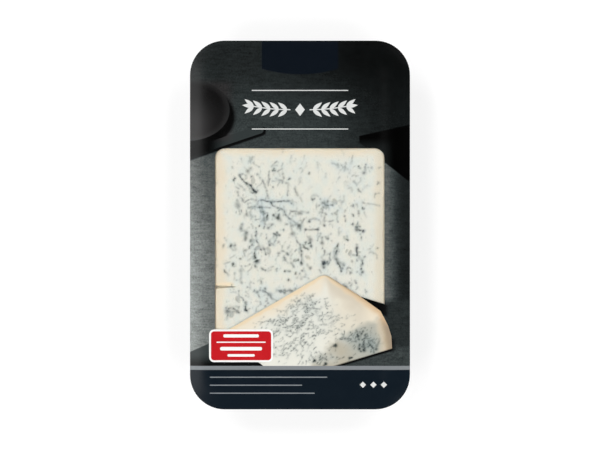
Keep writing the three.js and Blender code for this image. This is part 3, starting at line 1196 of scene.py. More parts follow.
@dataclass
class Veins:
    """Seeded veins that are stored on a piece's corners as beaded lines in smears and soft mist."""

    patches: Sequence[VeinPatch]
    seed: int
    routes: Sequence[Route] = ()
    radius: float = 0.3
    steps: tuple[int, int] = (3, 7)
    stride: tuple[float, float] = (0.4, 0.8)
    wander: float = 0.45
    jitter: float = 0.16
    branching: float = 0.2
    beads: tuple[float, float] = (0.1, 1.25)
    shades: tuple[float, float] = (0.45, 1.1)
    scatter: float = 1.8
    end_bead: tuple[float, float] = (1.3, 1.1)
    bead_spread: float = 0.35
    lean_spread: float = 0.3
    side_turn: tuple[float, float] = (0.7, 1.6)
    smear_width: float = 0.8
    smear_share: float = 0.3
    mist_width: float = 1.9
    mist_share: float = 0.16

    def beaded(
        self, draw: np.random.Generator, points: np.ndarray, look: tuple[float, float, float]
    ) -> Stroke:
        """Gives a line its uneven thickness and darkness, with a dark bead at its end.

        Args:
            draw: The seeded generator.
            points: The line's points.
            look: Its radius, darkness and mist.

        Returns:
            The stroke.
        """
        radius, dark, mist = look
        radii = radius * draw.lognormal(0.0, self.bead_spread, len(points))
        darks = dark * draw.uniform(*self.beads, len(points))
        radii[-1] *= self.end_bead[0]
        darks[-1] = self.end_bead[1] * dark
        return Stroke(points, radii, darks, mist)

    def follow(self, draw: np.random.Generator, route: Route) -> Stroke:
        """Lays a main vein along its route with small wanders.

        Args:
            draw: The seeded generator.
            route: The route to follow.

        Returns:
            The stroke.
        """
        corners = np.array(route.points)
        run = np.concatenate([[0.0], np.cumsum(np.hypot(*np.diff(corners, axis=0).T))])
        stops = np.linspace(0.0, run[-1], max(3, round(run[-1] / self.stride[1]) + 1))
        points = np.stack([np.interp(stops, run, corners[:, axis]) for axis in (0, 1)], axis=1)
        points += draw.normal(0.0, self.jitter, points.shape)
        return self.beaded(draw, points, (route.radius, route.dark, route.mist))

    def walk(
        self, draw: np.random.Generator, patch: VeinPatch, start: np.ndarray, lean: float
    ) -> Stroke:
        """Draws one fine vein of a patch.

        Args:
            draw: The seeded generator.
            patch: The patch that the vein belongs to.
            start: Its first point.
            lean: Its first direction in radians.

        Returns:
            The stroke.
        """
        steps = int(draw.integers(*self.steps))
        turns = lean + np.cumsum(draw.normal(0.0, self.wander, steps))
        strides = draw.uniform(*self.stride, steps) * patch.stretch
        moves = np.stack([np.cos(turns), np.sin(turns)], axis=1) * strides[:, None]
        points = start + np.vstack([np.zeros(2), np.cumsum(moves, axis=0)])
        dark = patch.dark * draw.uniform(*self.shades)
        return self.beaded(draw, points, (self.radius, dark, patch.mist))

    def strokes(self) -> list[Stroke]:
        """Draws the main veins, then the fine ones of every patch with their side branches.

        Returns:
            All strokes in the order they are drawn.
        """
        draw = np.random.default_rng(self.seed)
        made = [self.follow(draw, route) for route in self.routes]
        for patch in self.patches:
            spread = np.array([patch.spread_x, patch.spread_y]) / 2
            for _ in range(patch.strokes):
                scatter = np.clip(draw.normal(0.0, 1.0, 2), -self.scatter, self.scatter)
                start = np.array([patch.x, patch.y]) + scatter * spread
                lean = math.radians(patch.lean) + draw.normal(0.0, self.lean_spread)
                stem = self.walk(draw, patch, start, lean)
                made.append(stem)
                if draw.random() < self.branching:
                    side = lean + draw.choice([-1.0, 1.0]) * draw.uniform(*self.side_turn)
                    made.append(self.walk(draw, patch, stem.points[1], side))
        return made

    def paint(self, places: np.ndarray) -> tuple[np.ndarray, np.ndarray, np.ndarray]:
        """Works out how dark, how smeared and how misted each place is.

        Args:
            places: Rows that start with X and Y in millimetres.

        Returns:
            The veins, the smears and the mist, each between 0 and 1.
        """
        spots = places[:, :2]
        vein = np.zeros(len(spots))
        unsmeared, clear = np.ones(len(spots)), np.ones(len(spots))
        margin = 2.0 * self.mist_width
        order = np.argsort(spots[:, 1])
        sorted_y = spots[order, 1]
        for stroke in self.strokes():
            low, high = stroke.points.min(axis=0) - margin, stroke.points.max(axis=0) + margin
            rows = order[np.searchsorted(sorted_y, low[1]) : np.searchsorted(sorted_y, high[1])]
            near = rows[(spots[rows, 0] > low[0]) & (spots[rows, 0] < high[0])]
            level = np.zeros(len(near))
            gap = np.full(len(near), margin)
            for index, (first, second) in enumerate(pairwise(stroke.points)):
                span = second - first
                away = spots[near] - first
                along = np.clip(away @ span / (span @ span), 0.0, 1.0)
                reach = np.hypot(*(away - along[:, None] * span).T)
                radius = stroke.radii[index] * (1.0 - along) + stroke.radii[index + 1] * along
                dark = stroke.darks[index] * (1.0 - along) + stroke.darks[index + 1] * along
                level = np.maximum(level, dark * np.exp(-((reach / radius) ** 2)))
                gap = np.minimum(gap, reach)
            vein[near] = np.maximum(vein[near], level)
            smear = self.smear_share * stroke.darks.mean()
            unsmeared[near] *= 1.0 - smear * np.exp(-((gap / self.smear_width) ** 2))
            mist = self.mist_share * stroke.mist
            clear[near] *= 1.0 - mist * np.exp(-((gap / self.mist_width) ** 2))
        return np.clip(vein, 0.0, 1.0), 1.0 - unsmeared, 1.0 - clear


SLAB_ROUTES = (
    Route(0.95, 0.42, 0.4, ((-28.9, 23.7), (-25.9, 20.0), (-22.9, 15.2), (-21.4, 15.8))),
    Route(1.1, 0.5, 0.4, ((-25.9, 20.2), (-23.4, 18.6), (-21.4, 15.7))),
    Route(0.6, 0.42, 0.3, ((-26.5, 27.2), (-24.8, 25.8), (-23.4, 23.1))),
    Route(0.55, 0.4, 0.3, ((-23.4, 27.5), (-24.8, 25.8))),
    Route(0.5, 0.36, 0.3, ((-19.3, 22.8), (-17.4, 20.3), (-15.5, 14.9), (-14.9, 12.4))),
    Route(0.55, 0.38, 0.3, ((-14.7, 25.6), (-15.2, 19.0), (-14.5, 22.0))),
    Route(0.5, 0.38, 0.3, ((-5.9, 14.1), (-5.6, 19.8), (-9.7, 21.5), (-12.7, 20.9))),
    Route(0.5, 0.36, 0.2, ((-13.6, 28.0), (-11.1, 30.5))),
    Route(0.5, 0.38, 0.3, ((-30.3, 16.3), (-28.9, 13.0), (-26.7, 10.8), (-23.4, 12.4), (-21.0, 11.6))),
    Route(0.4, 0.7, 0.3, ((-30.0, 11.9), (-29.2, 8.6))),
    Route(0.8, 0.38, 2.0, ((-18.5, 11.9), (-14.1, 11.2), (-5.4, 11.5), (-4.2, 10.2))),
    Route(0.65, 0.38, 2.0, ((-18.5, 12.4), (-18.2, 8.6), (-16.9, 2.0))),
    Route(0.5, 0.34, 1.5, ((-21.8, 8.6), (-14.7, 8.3))),
    Route(0.8, 0.4, 1.5, ((-14.1, 11.1), (-13.0, 9.1), (-7.5, 7.2), (-6.7, 4.5), (-2.1, 0.9), (-0.4, -0.2))),
    Route(1.0, 0.5, 0.8, ((-16.0, 2.6), (-15.4, 4.7))),
    Route(0.6, 0.38, 0.8, ((-16.9, 2.0), (-16.3, -0.2), (-13.0, 0.4), (-14.9, -1.2))),
    Route(0.8, 0.4, 0.8, ((-12.7, 4.5), (-8.9, 1.5), (-10.3, 4.6))),
    Route(0.45, 0.38, 0.3, ((-25.6, 7.2), (-25.4, 4.5), (-21.2, 4.0))),
    Route(0.5, 0.45, 0.4, ((4.0, 6.1), (-4.3, 6.7), (0.4, 5.6))),
    Route(0.75, 0.45, 0.2, ((2.8, -2.2), (8.3, -2.4))),
    Route(0.5, 0.45, 0.4, ((-4.5, 1.2), (-4.0, -3.7))),
    Route(0.55, 0.42, 0.3, ((-2.6, 18.4), (-1.5, 14.6), (-2.3, 17.0))),
    Route(0.6, 0.42, 2.2, ((11.4, 11.7), (11.9, 9.7), (13.7, 9.2), (15.7, 9.7))),
    Route(0.6, 0.4, 0.3, ((17.7, 6.8), (17.9, 1.3))),
    Route(0.6, 0.42, 0.2, ((21.2, 4.1), (21.8, 1.9))),
    Route(0.55, 0.42, 0.3, ((11.9, 4.8), (11.1, 2.1), (16.0, 1.9), (14.3, 1.9))),
    Route(0.9, 0.46, 0.6, ((27.3, 1.3), (27.4, -2.2), (30.2, -2.8))),
    Route(0.4, 0.4, 0.8, ((29.9, 10.5), (34.1, 9.9), (38.0, 9.3))),
    Route(0.5, 0.4, 1.0, ((31.2, 29.0), (31.0, 26.0), (30.0, 24.4))),
    Route(0.8, 0.46, 0.5, ((-1.6, -7.7), (0.1, -9.4), (0.7, -14.0), (0.7, -18.7))),
    Route(0.7, 0.42, 0.3, ((1.2, -9.4), (2.7, -11.7), (3.9, -11.7))),
    Route(0.8, 0.6, 0.3, ((4.7, -5.4), (5.3, -10.0))),
    Route(0.65, 0.42, 0.4, ((10.5, -6.3), (10.5, -8.8), (11.1, -11.2))),
    Route(0.7, 0.42, 0.4, ((14.3, -13.2), (14.0, -18.1))),
    Route(0.85, 0.5, 0.9, ((18.0, -9.1), (16.9, -15.8), (18.3, -18.1), (19.8, -22.1))),
    Route(0.6, 0.6, 1.4, ((18.6, -17.6), (21.2, -19.2), (20.2, -20.6))),
    Route(1.1, 0.65, 0.6, ((11.4, -20.1), (11.4, -18.0))),
    Route(0.85, 0.5, 0.6, ((27.2, -10.3), (27.2, -14.0), (30.2, -18.1), (29.0, -19.5), (29.3, -22.7))),
    Route(0.65, 0.4, 0.2, ((3.3, -18.7), (4.7, -20.7))),
    Route(0.55, 0.6, 0.3, ((-27.9, 0.4), (-28.0, -2.1))),
    Route(0.55, 0.5, 0.3, ((-25.8, -3.7), (-26.0, -7.0))),
    Route(0.85, 0.44, 0.9, ((-19.4, -9.5), (-20.7, -7.8), (-20.9, -2.6), (-21.1, -5.1))),
    Route(0.8, 0.46, 0.3, ((-12.3, -4.3), (-9.9, -5.0), (-11.2, -3.7))),
    Route(0.8, 0.5, 0.6, ((-14.6, -7.8), (-14.5, -9.7))),
    Route(1.0, 0.5, 1.0, ((-21.5, -11.7), (-21.9, -14.7), (-20.5, -17.1))),
    Route(0.7, 0.46, 0.5, ((-18.1, -10.3), (-16.7, -11.9), (-16.4, -13.8))),
    Route(0.6, 0.42, 0.3, ((-18.4, -20.4), (-16.4, -21.5))),
    Route(0.65, 0.46, 0.2, ((-34.2, -23.7), (-36.4, -21.5))),
    Route(0.9, 0.46, 0.2, ((-4.9, -22.2), (-7.1, -22.0))),
    Route(0.4, 0.55, 0.2, ((-28.2, -21.0), (-27.9, -27.6))),
    Route(0.55, 0.44, 0.5, ((-29.3, -31.4), (-29.3, -33.6), (-26.8, -35.8), (-25.8, -37.7))),
    Route(1.0, 0.44, 0.6, ((-26.3, -39.1), (-25.5, -41.1))),
    Route(0.7, 0.65, 0.5, ((-35.6, -39.6), (-32.9, -39.6), (-29.0, -41.5), (-34.5, -41.0))),
    Route(0.5, 0.5, 0.3, ((-34.8, -45.4), (-34.5, -41.5))),
    Route(0.65, 0.46, 0.6, ((-19.4, -34.7), (-20.3, -32.2))),
    Route(0.65, 0.46, 1.8, ((-11.2, -36.1), (-13.4, -35.2), (-15.1, -32.5), (-18.1, -31.4), (-16.4, -30.6))),
    Route(0.65, 0.46, 1.8, ((-1.9, -30.3), (-4.4, -31.4), (-10.7, -31.4), (-7.6, -32.2))),
)

SLAB_VEINS = (
    VeinPatch(-22.0, 20.0, 16.0, 14.0, -50.0, 12, 0.45, 0.2),
    VeinPatch(-6.0, 24.0, 22.0, 12.0, 60.0, 14, 0.35, 0.3),
    VeinPatch(26.0, 22.0, 14.0, 16.0, 75.0, 14, 0.35, 0.8),
    VeinPatch(8.0, 6.0, 16.0, 8.0, 60.0, 12, 0.5, 0.4),
    VeinPatch(-24.0, -2.0, 12.0, 16.0, 85.0, 18, 0.5, 0.4),
    VeinPatch(-8.0, -10.0, 20.0, 16.0, 80.0, 18, 0.5, 0.3),
    VeinPatch(18.0, -12.0, 22.0, 18.0, 85.0, 28, 0.55, 0.4),
    VeinPatch(-26.0, -20.0, 16.0, 12.0, 60.0, 12, 0.45, 0.2),
    VeinPatch(-20.0, -36.0, 16.0, 6.0, 40.0, 12, 0.5, 0.5),
    VeinPatch(26.0, -29.0, 8.0, 6.0, -70.0, 7, 0.6, 0.4),
    VeinPatch(0.0, -6.0, 52.0, 40.0, 85.0, 60, 0.4, 0.2),
    VeinPatch(-2.0, -7.0, 50.0, 38.0, 85.0, 110, 0.8, 0.1, 0.3),
)

WEDGE_VEINS = (
    VeinPatch(3.0, -37.0, 10.0, 6.0, -40.0, 40, 0.85, 0.4),
    VeinPatch(1.0, -39.0, 13.0, 6.0, 35.0, 60, 0.8, 0.4),
    VeinPatch(-6.0, -46.0, 18.0, 8.0, 28.0, 110, 0.75, 0.3),
    VeinPatch(9.0, -45.0, 12.0, 8.0, 30.0, 60, 0.6, 0.3),
    VeinPatch(-8.0, -53.0, 16.0, 8.0, 30.0, 90, 0.75, 0.2),
    VeinPatch(6.0, -53.0, 12.0, 7.0, 32.0, 44, 0.66, 0.2),
    VeinPatch(-10.0, -61.0, 12.0, 6.0, 35.0, 50, 0.6, 0.2),
    VeinPatch(0.0, -61.0, 10.0, 6.0, 40.0, 26, 0.55, 0.2),
    VeinPatch(20.0, -47.0, 10.0, 7.0, 30.0, 26, 0.5, 0.2),
    VeinPatch(29.0, -54.0, 9.0, 5.0, 60.0, 40, 0.8, 0.5),
    VeinPatch(33.0, -57.0, 8.0, 4.0, 50.0, 36, 0.9, 0.6),
    VeinPatch(21.5, -54.0, 6.0, 2.0, 35.0, 16, 0.7, 0.6),
    VeinPatch(12.0, -64.5, 9.0, 2.5, 40.0, 30, 0.95, 0.5),
    VeinPatch(17.5, -60.0, 9.0, 5.0, 30.0, 8, 0.5, 0.2),
)

WEDGE_ROUTES = (
    Route(1.2, 0.5, 0.2, ((6.2, -65.3), (6.9, -64.7))),
    Route(1.2, 0.5, 0.2, ((11.5, -66.8), (12.3, -66.2))),
    Route(1.2, 0.55, 0.2, ((23.4, -64.3), (24.4, -63.3))),
    Route(1.1, 0.5, 0.2, ((15.9, -58.0), (16.9, -57.4))),
    Route(0.8, 0.45, 0.5, ((26.9, -50.2), (27.6, -51.6), (27.4, -53.2))),
    Route(0.9, 0.5, 0.5, ((30.2, -50.0), (29.6, -51.8), (28.0, -54.8))),
    Route(0.8, 0.5, 0.6, ((31.4, -52.0), (30.8, -54.0), (30.2, -57.0))),
    Route(0.9, 0.5, 0.6, ((28.4, -56.6), (28.3, -59.0), (28.9, -60.2))),
    Route(0.9, 0.5, 0.6, ((30.2, -57.2), (30.9, -59.6))),
    Route(0.8, 0.5, 0.6, ((32.6, -55.4), (33.6, -57.2), (34.9, -58.8))),
    Route(0.9, 0.5, 0.4, ((38.2, -54.4), (36.8, -57.0), (36.3, -59.2))),
    Route(0.6, 0.45, 0.6, ((19.2, -54.4), (22.2, -54.0), (24.4, -54.8))),
    Route(0.5, 0.4, 0.5, ((24.6, -56.0), (26.6, -55.4))),
    Route(0.7, 0.45, 0.5, ((9.4, -64.6), (11.4, -63.2), (12.6, -64.4))),
)


@dataclass(frozen=True)
class PitPatch:
    """A patch of open pits in the slab: its middle and how far it reaches."""

    x: float
    y: float
    reach: float


PIT_PATCHES = (
    PitPatch(-24.0, 18.5, 4.5),
    PitPatch(-13.0, 7.0, 6.0),
    PitPatch(14.0, 11.0, 4.0),
    PitPatch(-20.0, -9.0, 5.5),
    PitPatch(4.0, -15.0, 5.5),
    PitPatch(24.0, -16.5, 6.0),
    PitPatch(-30.0, -39.0, 4.5),
)


@dataclass
class CheeseSlab:
    """The slab: uneven cut top with pits and a gash, rounded edges, bulging sides and a flat bottom."""

    width: float = 82.4
    length: float = 113.0
    middle_y: float = -17.6
    bottom: float = 2.0
    top: float = 23.36
    ceiling: float = 23.61
    corner: float = 3.2
    edge: float = 1.3
    bulge: float = 0.3
    tuck: float = 1.5
    cell: float = 0.33
    gash_y: float = -29.6
    gash_length: float = 11.0
    gash_width: float = 1.1
    gash_depth: float = 1.4
    pit_seed: int = 40961
    draw_factor: int = 16807
    draw_modulus: int = 2147483647
    pits_per_patch: int = 3
    pit_radius: tuple[float, float] = (0.6, 1.2)
    pit_stretch: float = 1.7
    crumb: float = 0.07
    seed: int = 17
    side_rings: int = 3
    rind_fade: float = 1.6
    zone_start: float = 2.5
    zone_fade: float = 6.0
    gash_rind: float = 1.3
    gash_rind_end: float = -30.0

    def wave(self, x: np.ndarray, y: np.ndarray) -> np.ndarray:
        """Gentle unevenness of the cut paste, from the slab's middle.

        Args:
            x: Places along X.
            y: Places along Y.

        Returns:
            The rise at each place.
        """
        broad = 0.16 * np.sin(0.21 * x + 0.13 * y + 0.4)
        cross = 0.12 * np.sin(0.37 * y - 0.18 * x + 1.9)
        fine = 0.07 * np.sin(0.63 * x + 0.2) * np.sin(0.55 * y + 1.1)
        return broad + cross + fine

    def height(self, x: np.ndarray, y: np.ndarray) -> np.ndarray:
        """Height of the slab's top at places given from its middle.

        Args:
            x: Places along X.
            y: Places along Y.

        Returns:
            The height at each place.
        """
        in_x = self.width / 2 - np.abs(x)
        in_y = self.length / 2 - np.abs(y)
        inward = np.clip(np.minimum(in_x, in_y), 0.0, self.edge)
        drop = self.edge - np.sqrt(self.edge**2 - (self.edge - inward) ** 2)
        return self.top - drop + self.wave(x, y) * inward / self.edge

    def rounded(self, places: np.ndarray) -> np.ndarray:
        """Pulls places near the slab's corners onto the corners' rounds.

        Args:
            places: Rows of X and Y from the middle.

        Returns:
            The rows, moved.
        """
        half = np.array([self.width / 2, self.length / 2]) - self.corner
        beyond = np.abs(places) - half
        near = np.all(beyond > 0.0, axis=1)
        pull = beyond[near].max(axis=1) / np.hypot(*beyond[near].T)
        moved = places.copy()
        moved[near] += np.sign(places[near]) * beyond[near] * (pull - 1.0)[:, None]
        return moved

    def pits(self) -> list[tuple[float, float, float, float]]:
        """Draws the pits in the order of the solid's: X, Y, radius and turn.

        Returns:
            One row for each pit.
        """
        state = self.pit_seed
        made = []

        def draw() -> float:
            """The next number of the seeded row.

            Returns:
                A number between 0 and 1.
            """
            nonlocal state
            state = state * self.draw_factor % self.draw_modulus
            return state / self.draw_modulus

        least, most = self.pit_radius
        for patch in PIT_PATCHES:
            for _ in range(self.pits_per_patch):
                x = patch.x + patch.reach * (2.0 * draw() - 1.0)
                y = patch.y + patch.reach * (2.0 * draw() - 1.0)
                radius = least + (most - least) * draw() ** 2
                made.append((x, y, radius, draw() * math.pi))
        return made

    def sink_pits(self, places: np.ndarray) -> np.ndarray:
        """Sinks the pits into the top, and says how deep each place has sunk.

        Args:
            places: Rows of X, Y and Z of the top, changed in place.

        Returns:
            Depth of each place, 0 where there is no pit.
        """
        before = places[:, 2].copy()
        for x, y, radius, turn in self.pits():
            dx, dy = places[:, 0] - x, places[:, 1] - y
            across = dx * math.cos(turn) + dy * math.sin(turn)
            along = (dy * math.cos(turn) - dx * math.sin(turn)) / self.pit_stretch
            inside = radius**2 - across**2 - along**2
            level = self.height(np.array([x]), np.array([y - self.middle_y]))
            middle = float(level[0]) + radius / 4
            bowl = middle - np.sqrt(np.maximum(inside, 0.0))
            places[:, 2] = np.where(inside > 0.0, np.minimum(places[:, 2], bowl), places[:, 2])
        return before - places[:, 2]

    def gash(self, places: np.ndarray) -> np.ndarray:
        """Opening of the gash at each place: 1 inside it, fading to 0 beside it.

        Args:
            places: Rows of X, Y and Z.

        Returns:
            One number for each row.
        """
        inner = -self.width / 2 + self.gash_length
        run = np.clip((inner - places[:, 0]) / self.gash_length, 0.0, 1.0)
        half = self.gash_width / 2 * run + 0.05
        opening = np.clip(1.6 - np.abs(places[:, 1] - self.gash_y) / half, 0.0, 1.0)
        return np.where(run > 0.0, opening, 0.0)

    def build(self) -> bpy.types.Object:
        """Models the slab from a grid, closes it below and shapes its top and sides.

        Returns:
            The slab as one closed mesh.
        """
        low = (-self.width / 2, self.middle_y - self.length / 2)
        high = (self.width / 2, self.middle_y + self.length / 2)
        piece = Bench.grid("cheese_slab", low, high, self.cell)
        bpy.ops.mesh.region_to_loop()
        for _ in range(self.side_rings):
            bpy.ops.mesh.extrude_edges_move(TRANSFORM_OT_translate={"value": (0.0, 0.0, -MM)})
        bpy.ops.mesh.edge_face_add()
        bpy.ops.mesh.select_all(action="SELECT")
        bpy.ops.mesh.normals_make_consistent(inside=False)
        bpy.ops.object.mode_set(mode="OBJECT")
        self.shape(piece)
        return piece

    def shape(self, piece: bpy.types.Object) -> None:
        """Moves the grid's corners to the slab's surface and stores veins, smears, mist and rind.

        Args:
            piece: The closed grid.
        """
        places = Bench.places(piece)
        level = np.round(places[:, 2]).astype(int)
        flat = places[:, :2] - (0.0, self.middle_y)
        round_flat = self.rounded(flat)
        top = level == 0
        half = np.array([self.width / 2, self.length / 2]) - self.corner
        beyond = np.sign(round_flat) * np.maximum(np.abs(round_flat) - half, 0.0)
        outward = beyond / np.maximum(np.hypot(*beyond.T), 1e-9)[:, None]
        swell = np.choose(-level, [0.0, self.bulge, 0.0, -self.tuck])
        heights = [self.top, (self.top + self.bottom) / 2, self.bottom + self.tuck, self.bottom]
        places[:, :2] = round_flat + outward * swell[:, None] + (0.0, self.middle_y)
        places[:, 2] = np.choose(-level, heights)
        surface = places[top]
        surface[:, 2] = self.height(flat[top, 0], flat[top, 1])
        reach = np.array([self.width / 2, self.length / 2]) - np.abs(flat[top])
        inward = reach.min(axis=1)
        calm = np.clip(inward / self.edge, 0.0, 1.0)
        crumb = lattice(surface, 1.3, self.seed) + 0.6 * lattice(surface, 0.6, self.seed + 1)
        capped = np.minimum(surface[:, 2], self.ceiling - self.crumb)
        surface[:, 2] = capped + self.crumb * crumb / 1.6 * calm
        sunk = self.sink_pits(surface)
        gash = self.gash(surface)
        floor = np.minimum(surface[:, 2], self.top - self.gash_depth)
        surface[:, 2] = surface[:, 2] * (1.0 - gash) + gash * floor
        places[top] = surface
        Bench.move(piece, places)

        vein, smear, halo = Veins(SLAB_VEINS, self.seed, SLAB_ROUTES).paint(places)
        rind = np.ones(len(places))
        near_gash = np.exp(-(((places[:, 1] - self.gash_y - self.gash_rind) / self.gash_rind) ** 2))
        near_gash *= np.clip((self.gash_rind_end - places[:, 0]) / 3.0, 0.0, 1.0) * 0.7
        rind[top] = np.maximum(np.exp(-inward / self.rind_fade), near_gash[top])
        zone = np.zeros(len(places))
        middle = np.clip((inward - self.zone_start) / self.zone_fade, 0.0, 1.0)
        zone[top] = middle * (1.0 - near_gash[top])
        shown = np.clip(0.35 + 2.0 * zone, 0.0, 1.0)
        vein *= shown
        vein[top] = np.maximum(vein[top], np.clip(sunk * 0.5, 0.0, 0.3))
        # Darker inside the gash, added to the vein amounts.
        vein[top] = np.maximum(vein[top], gash * 0.2)
        stored = {"vein": vein, "smear": smear * shown, "halo": halo * zone, "rind": rind, "zone": zone}
        for name, amounts in stored.items():
            Bench.mark(piece, name, amounts)

    def dress(self) -> bpy.types.Object:
        """Builds the slab, finishes it and lets it stand for its solid.

        Returns:
            The finished slab.
        """
        piece = Bench.finish(self.build(), "cheese", 60.0)
        CheesePaste().dress(piece)
        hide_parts("cheese")
        return piece


@dataclass(frozen=True)
class WedgeOutline:
    """The printed wedge's outline. Its upper edge is the window's lower edge."""

    foot: Point = (-34.4, -50.1)
    apex: Point = (11.8, -23.2)
    shoulder: Point = (28.9, -34.2)
    rounding: float = 3.3
    steps: int = 6
    right: tuple[Point, ...] = ((38.4, -41.0), (42.0, -48.0), (43.6, -53.1), (43.9, -59.0))
    bottom: tuple[Point, ...] = ((17.3, -67.2), (-17.5, -67.2), (-30.0, -58.0))

    def crest(self) -> list[Point]:
        """Points of the upper edge from the foot over the rounded apex to the shoulder.

        Returns:
            The points, foot first.
        """
        apex = Vector(self.apex)
        before = apex + (Vector(self.foot) - apex).normalized() * self.rounding
        after = apex + (Vector(self.shoulder) - apex).normalized() * self.rounding
        curve = []
        for part in np.linspace(0.0, 1.0, self.steps + 1):
            spot = before * (1 - part) ** 2 + apex * 2 * part * (1 - part) + after * part**2
            curve.append((spot.x, spot.y))
        return [self.foot, *curve, self.shoulder]

    def corners(self) -> list[Point]:
        """The whole outline, counter-clockwise."""
        clockwise = [*self.crest(), *self.right, *self.bottom]
        return clockwise[::-1]


@dataclass(frozen=True)
class Window:
    """The opening in the printed layer."""

    half_width: float = 40.3
    left_extra: float = 0.25
    top: float = 36.6
    corner: float = 4.8
    right_end: float = -37.8
    steps: int = 8

    def outline(self, wedge: WedgeOutline) -> list[Point]:
        """The opening's corners, counter-clockwise.

        Args:
            wedge: The printed wedge that bounds it below.

        Returns:
            The points.
        """
        side, level = self.half_width - self.corner, self.top - self.corner
        left = -self.half_width - self.left_extra
        lower = [(left, wedge.foot[1]), *wedge.crest(), (self.half_width, self.right_end)]
        upper = arc((side, level), self.corner, 0.0, 90.0, self.steps)
        upper += arc((left + self.corner, level), self.corner, 90.0, 180.0, self.steps)
        return [*lower, *upper]


@dataclass
class Lid:
    """The clear film and the printed layer with its window, stripe and foot band."""

    front: Front
    wedge: WedgeOutline = WedgeOutline()
    window: Window = Window()
    film_lift: float = 0.22
    film: float = 0.06
    print_lift: float = 0.45
    print_sheet: float = 0.22
    field_lift: float = 0.03
    stripe_top: float = -67.2
    stripe_bottom: float = -69.1

    def add_film(self) -> bpy.types.Object:
        """Makes the clear film.

        Returns:
            The film.
        """
        piece = Bench.finish(self.front.sheet("seal_film", self.film_lift, self.film), "film")
        ClearFilm().dress(piece)
        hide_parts("clear_film")
        return piece

    def add_print(self) -> bpy.types.Object:
        """Makes the printed layer, opens its window and parts it into slate, stripe and band.

        Returns:
            The printed layer.
        """
        piece = self.front.sheet("printed_layer", self.print_lift, self.print_sheet)
        opening = self.window.outline(self.wedge)
        cutter = Bench.prism("window_cutter", [opening], 0.0, 2 * self.front.rim_top)
        Bench.trim(piece, cutter, Cut.REMOVE)
        Bench.edit(piece)
        for line in (self.stripe_top, self.stripe_bottom):
            bpy.ops.mesh.select_all(action="SELECT")
            bpy.ops.mesh.bisect(plane_co=(0.0, line * MM, 0.0), plane_no=(0.0, 1.0, 0.0))
        bpy.ops.object.mode_set(mode="OBJECT")
        SlatePrint().dress(piece)
        for ink in (STRIPE_INK, BAND_INK):
            piece.data.materials.append(InkPrint(ink).material)
        for face in piece.data.polygons:
            middle = face.center.y / MM
            face.material_index = (middle < self.stripe_top) + (middle < self.stripe_bottom)
        Bench.finish(piece, "print")
        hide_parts("print_layer")
        return piece

    def field(
        self, name: str, outlines: Sequence[Sequence[Point]], finish: Finish, lift: int = 1
    ) -> bpy.types.Object:
        """Lays a printed field on the printed layer, following its surface.

        Args:
            name: The field's name.
            outlines: Its outlines.
            finish: Its finish.
            lift: How many fields deep it lies, counted from the printed layer.

        Returns:
            The field.
        """
        rise = self.field_lift * lift
        piece = self.front.sheet(name, self.print_lift + rise, self.print_sheet / 2)
        cutter = Bench.prism("field_cutter", outlines, 0.0, 2 * self.front.rim_top)
        Bench.trim(piece, cutter, Cut.KEEP)
        Bench.finish(piece, "print")
        finish.dress(piece)
        return piece


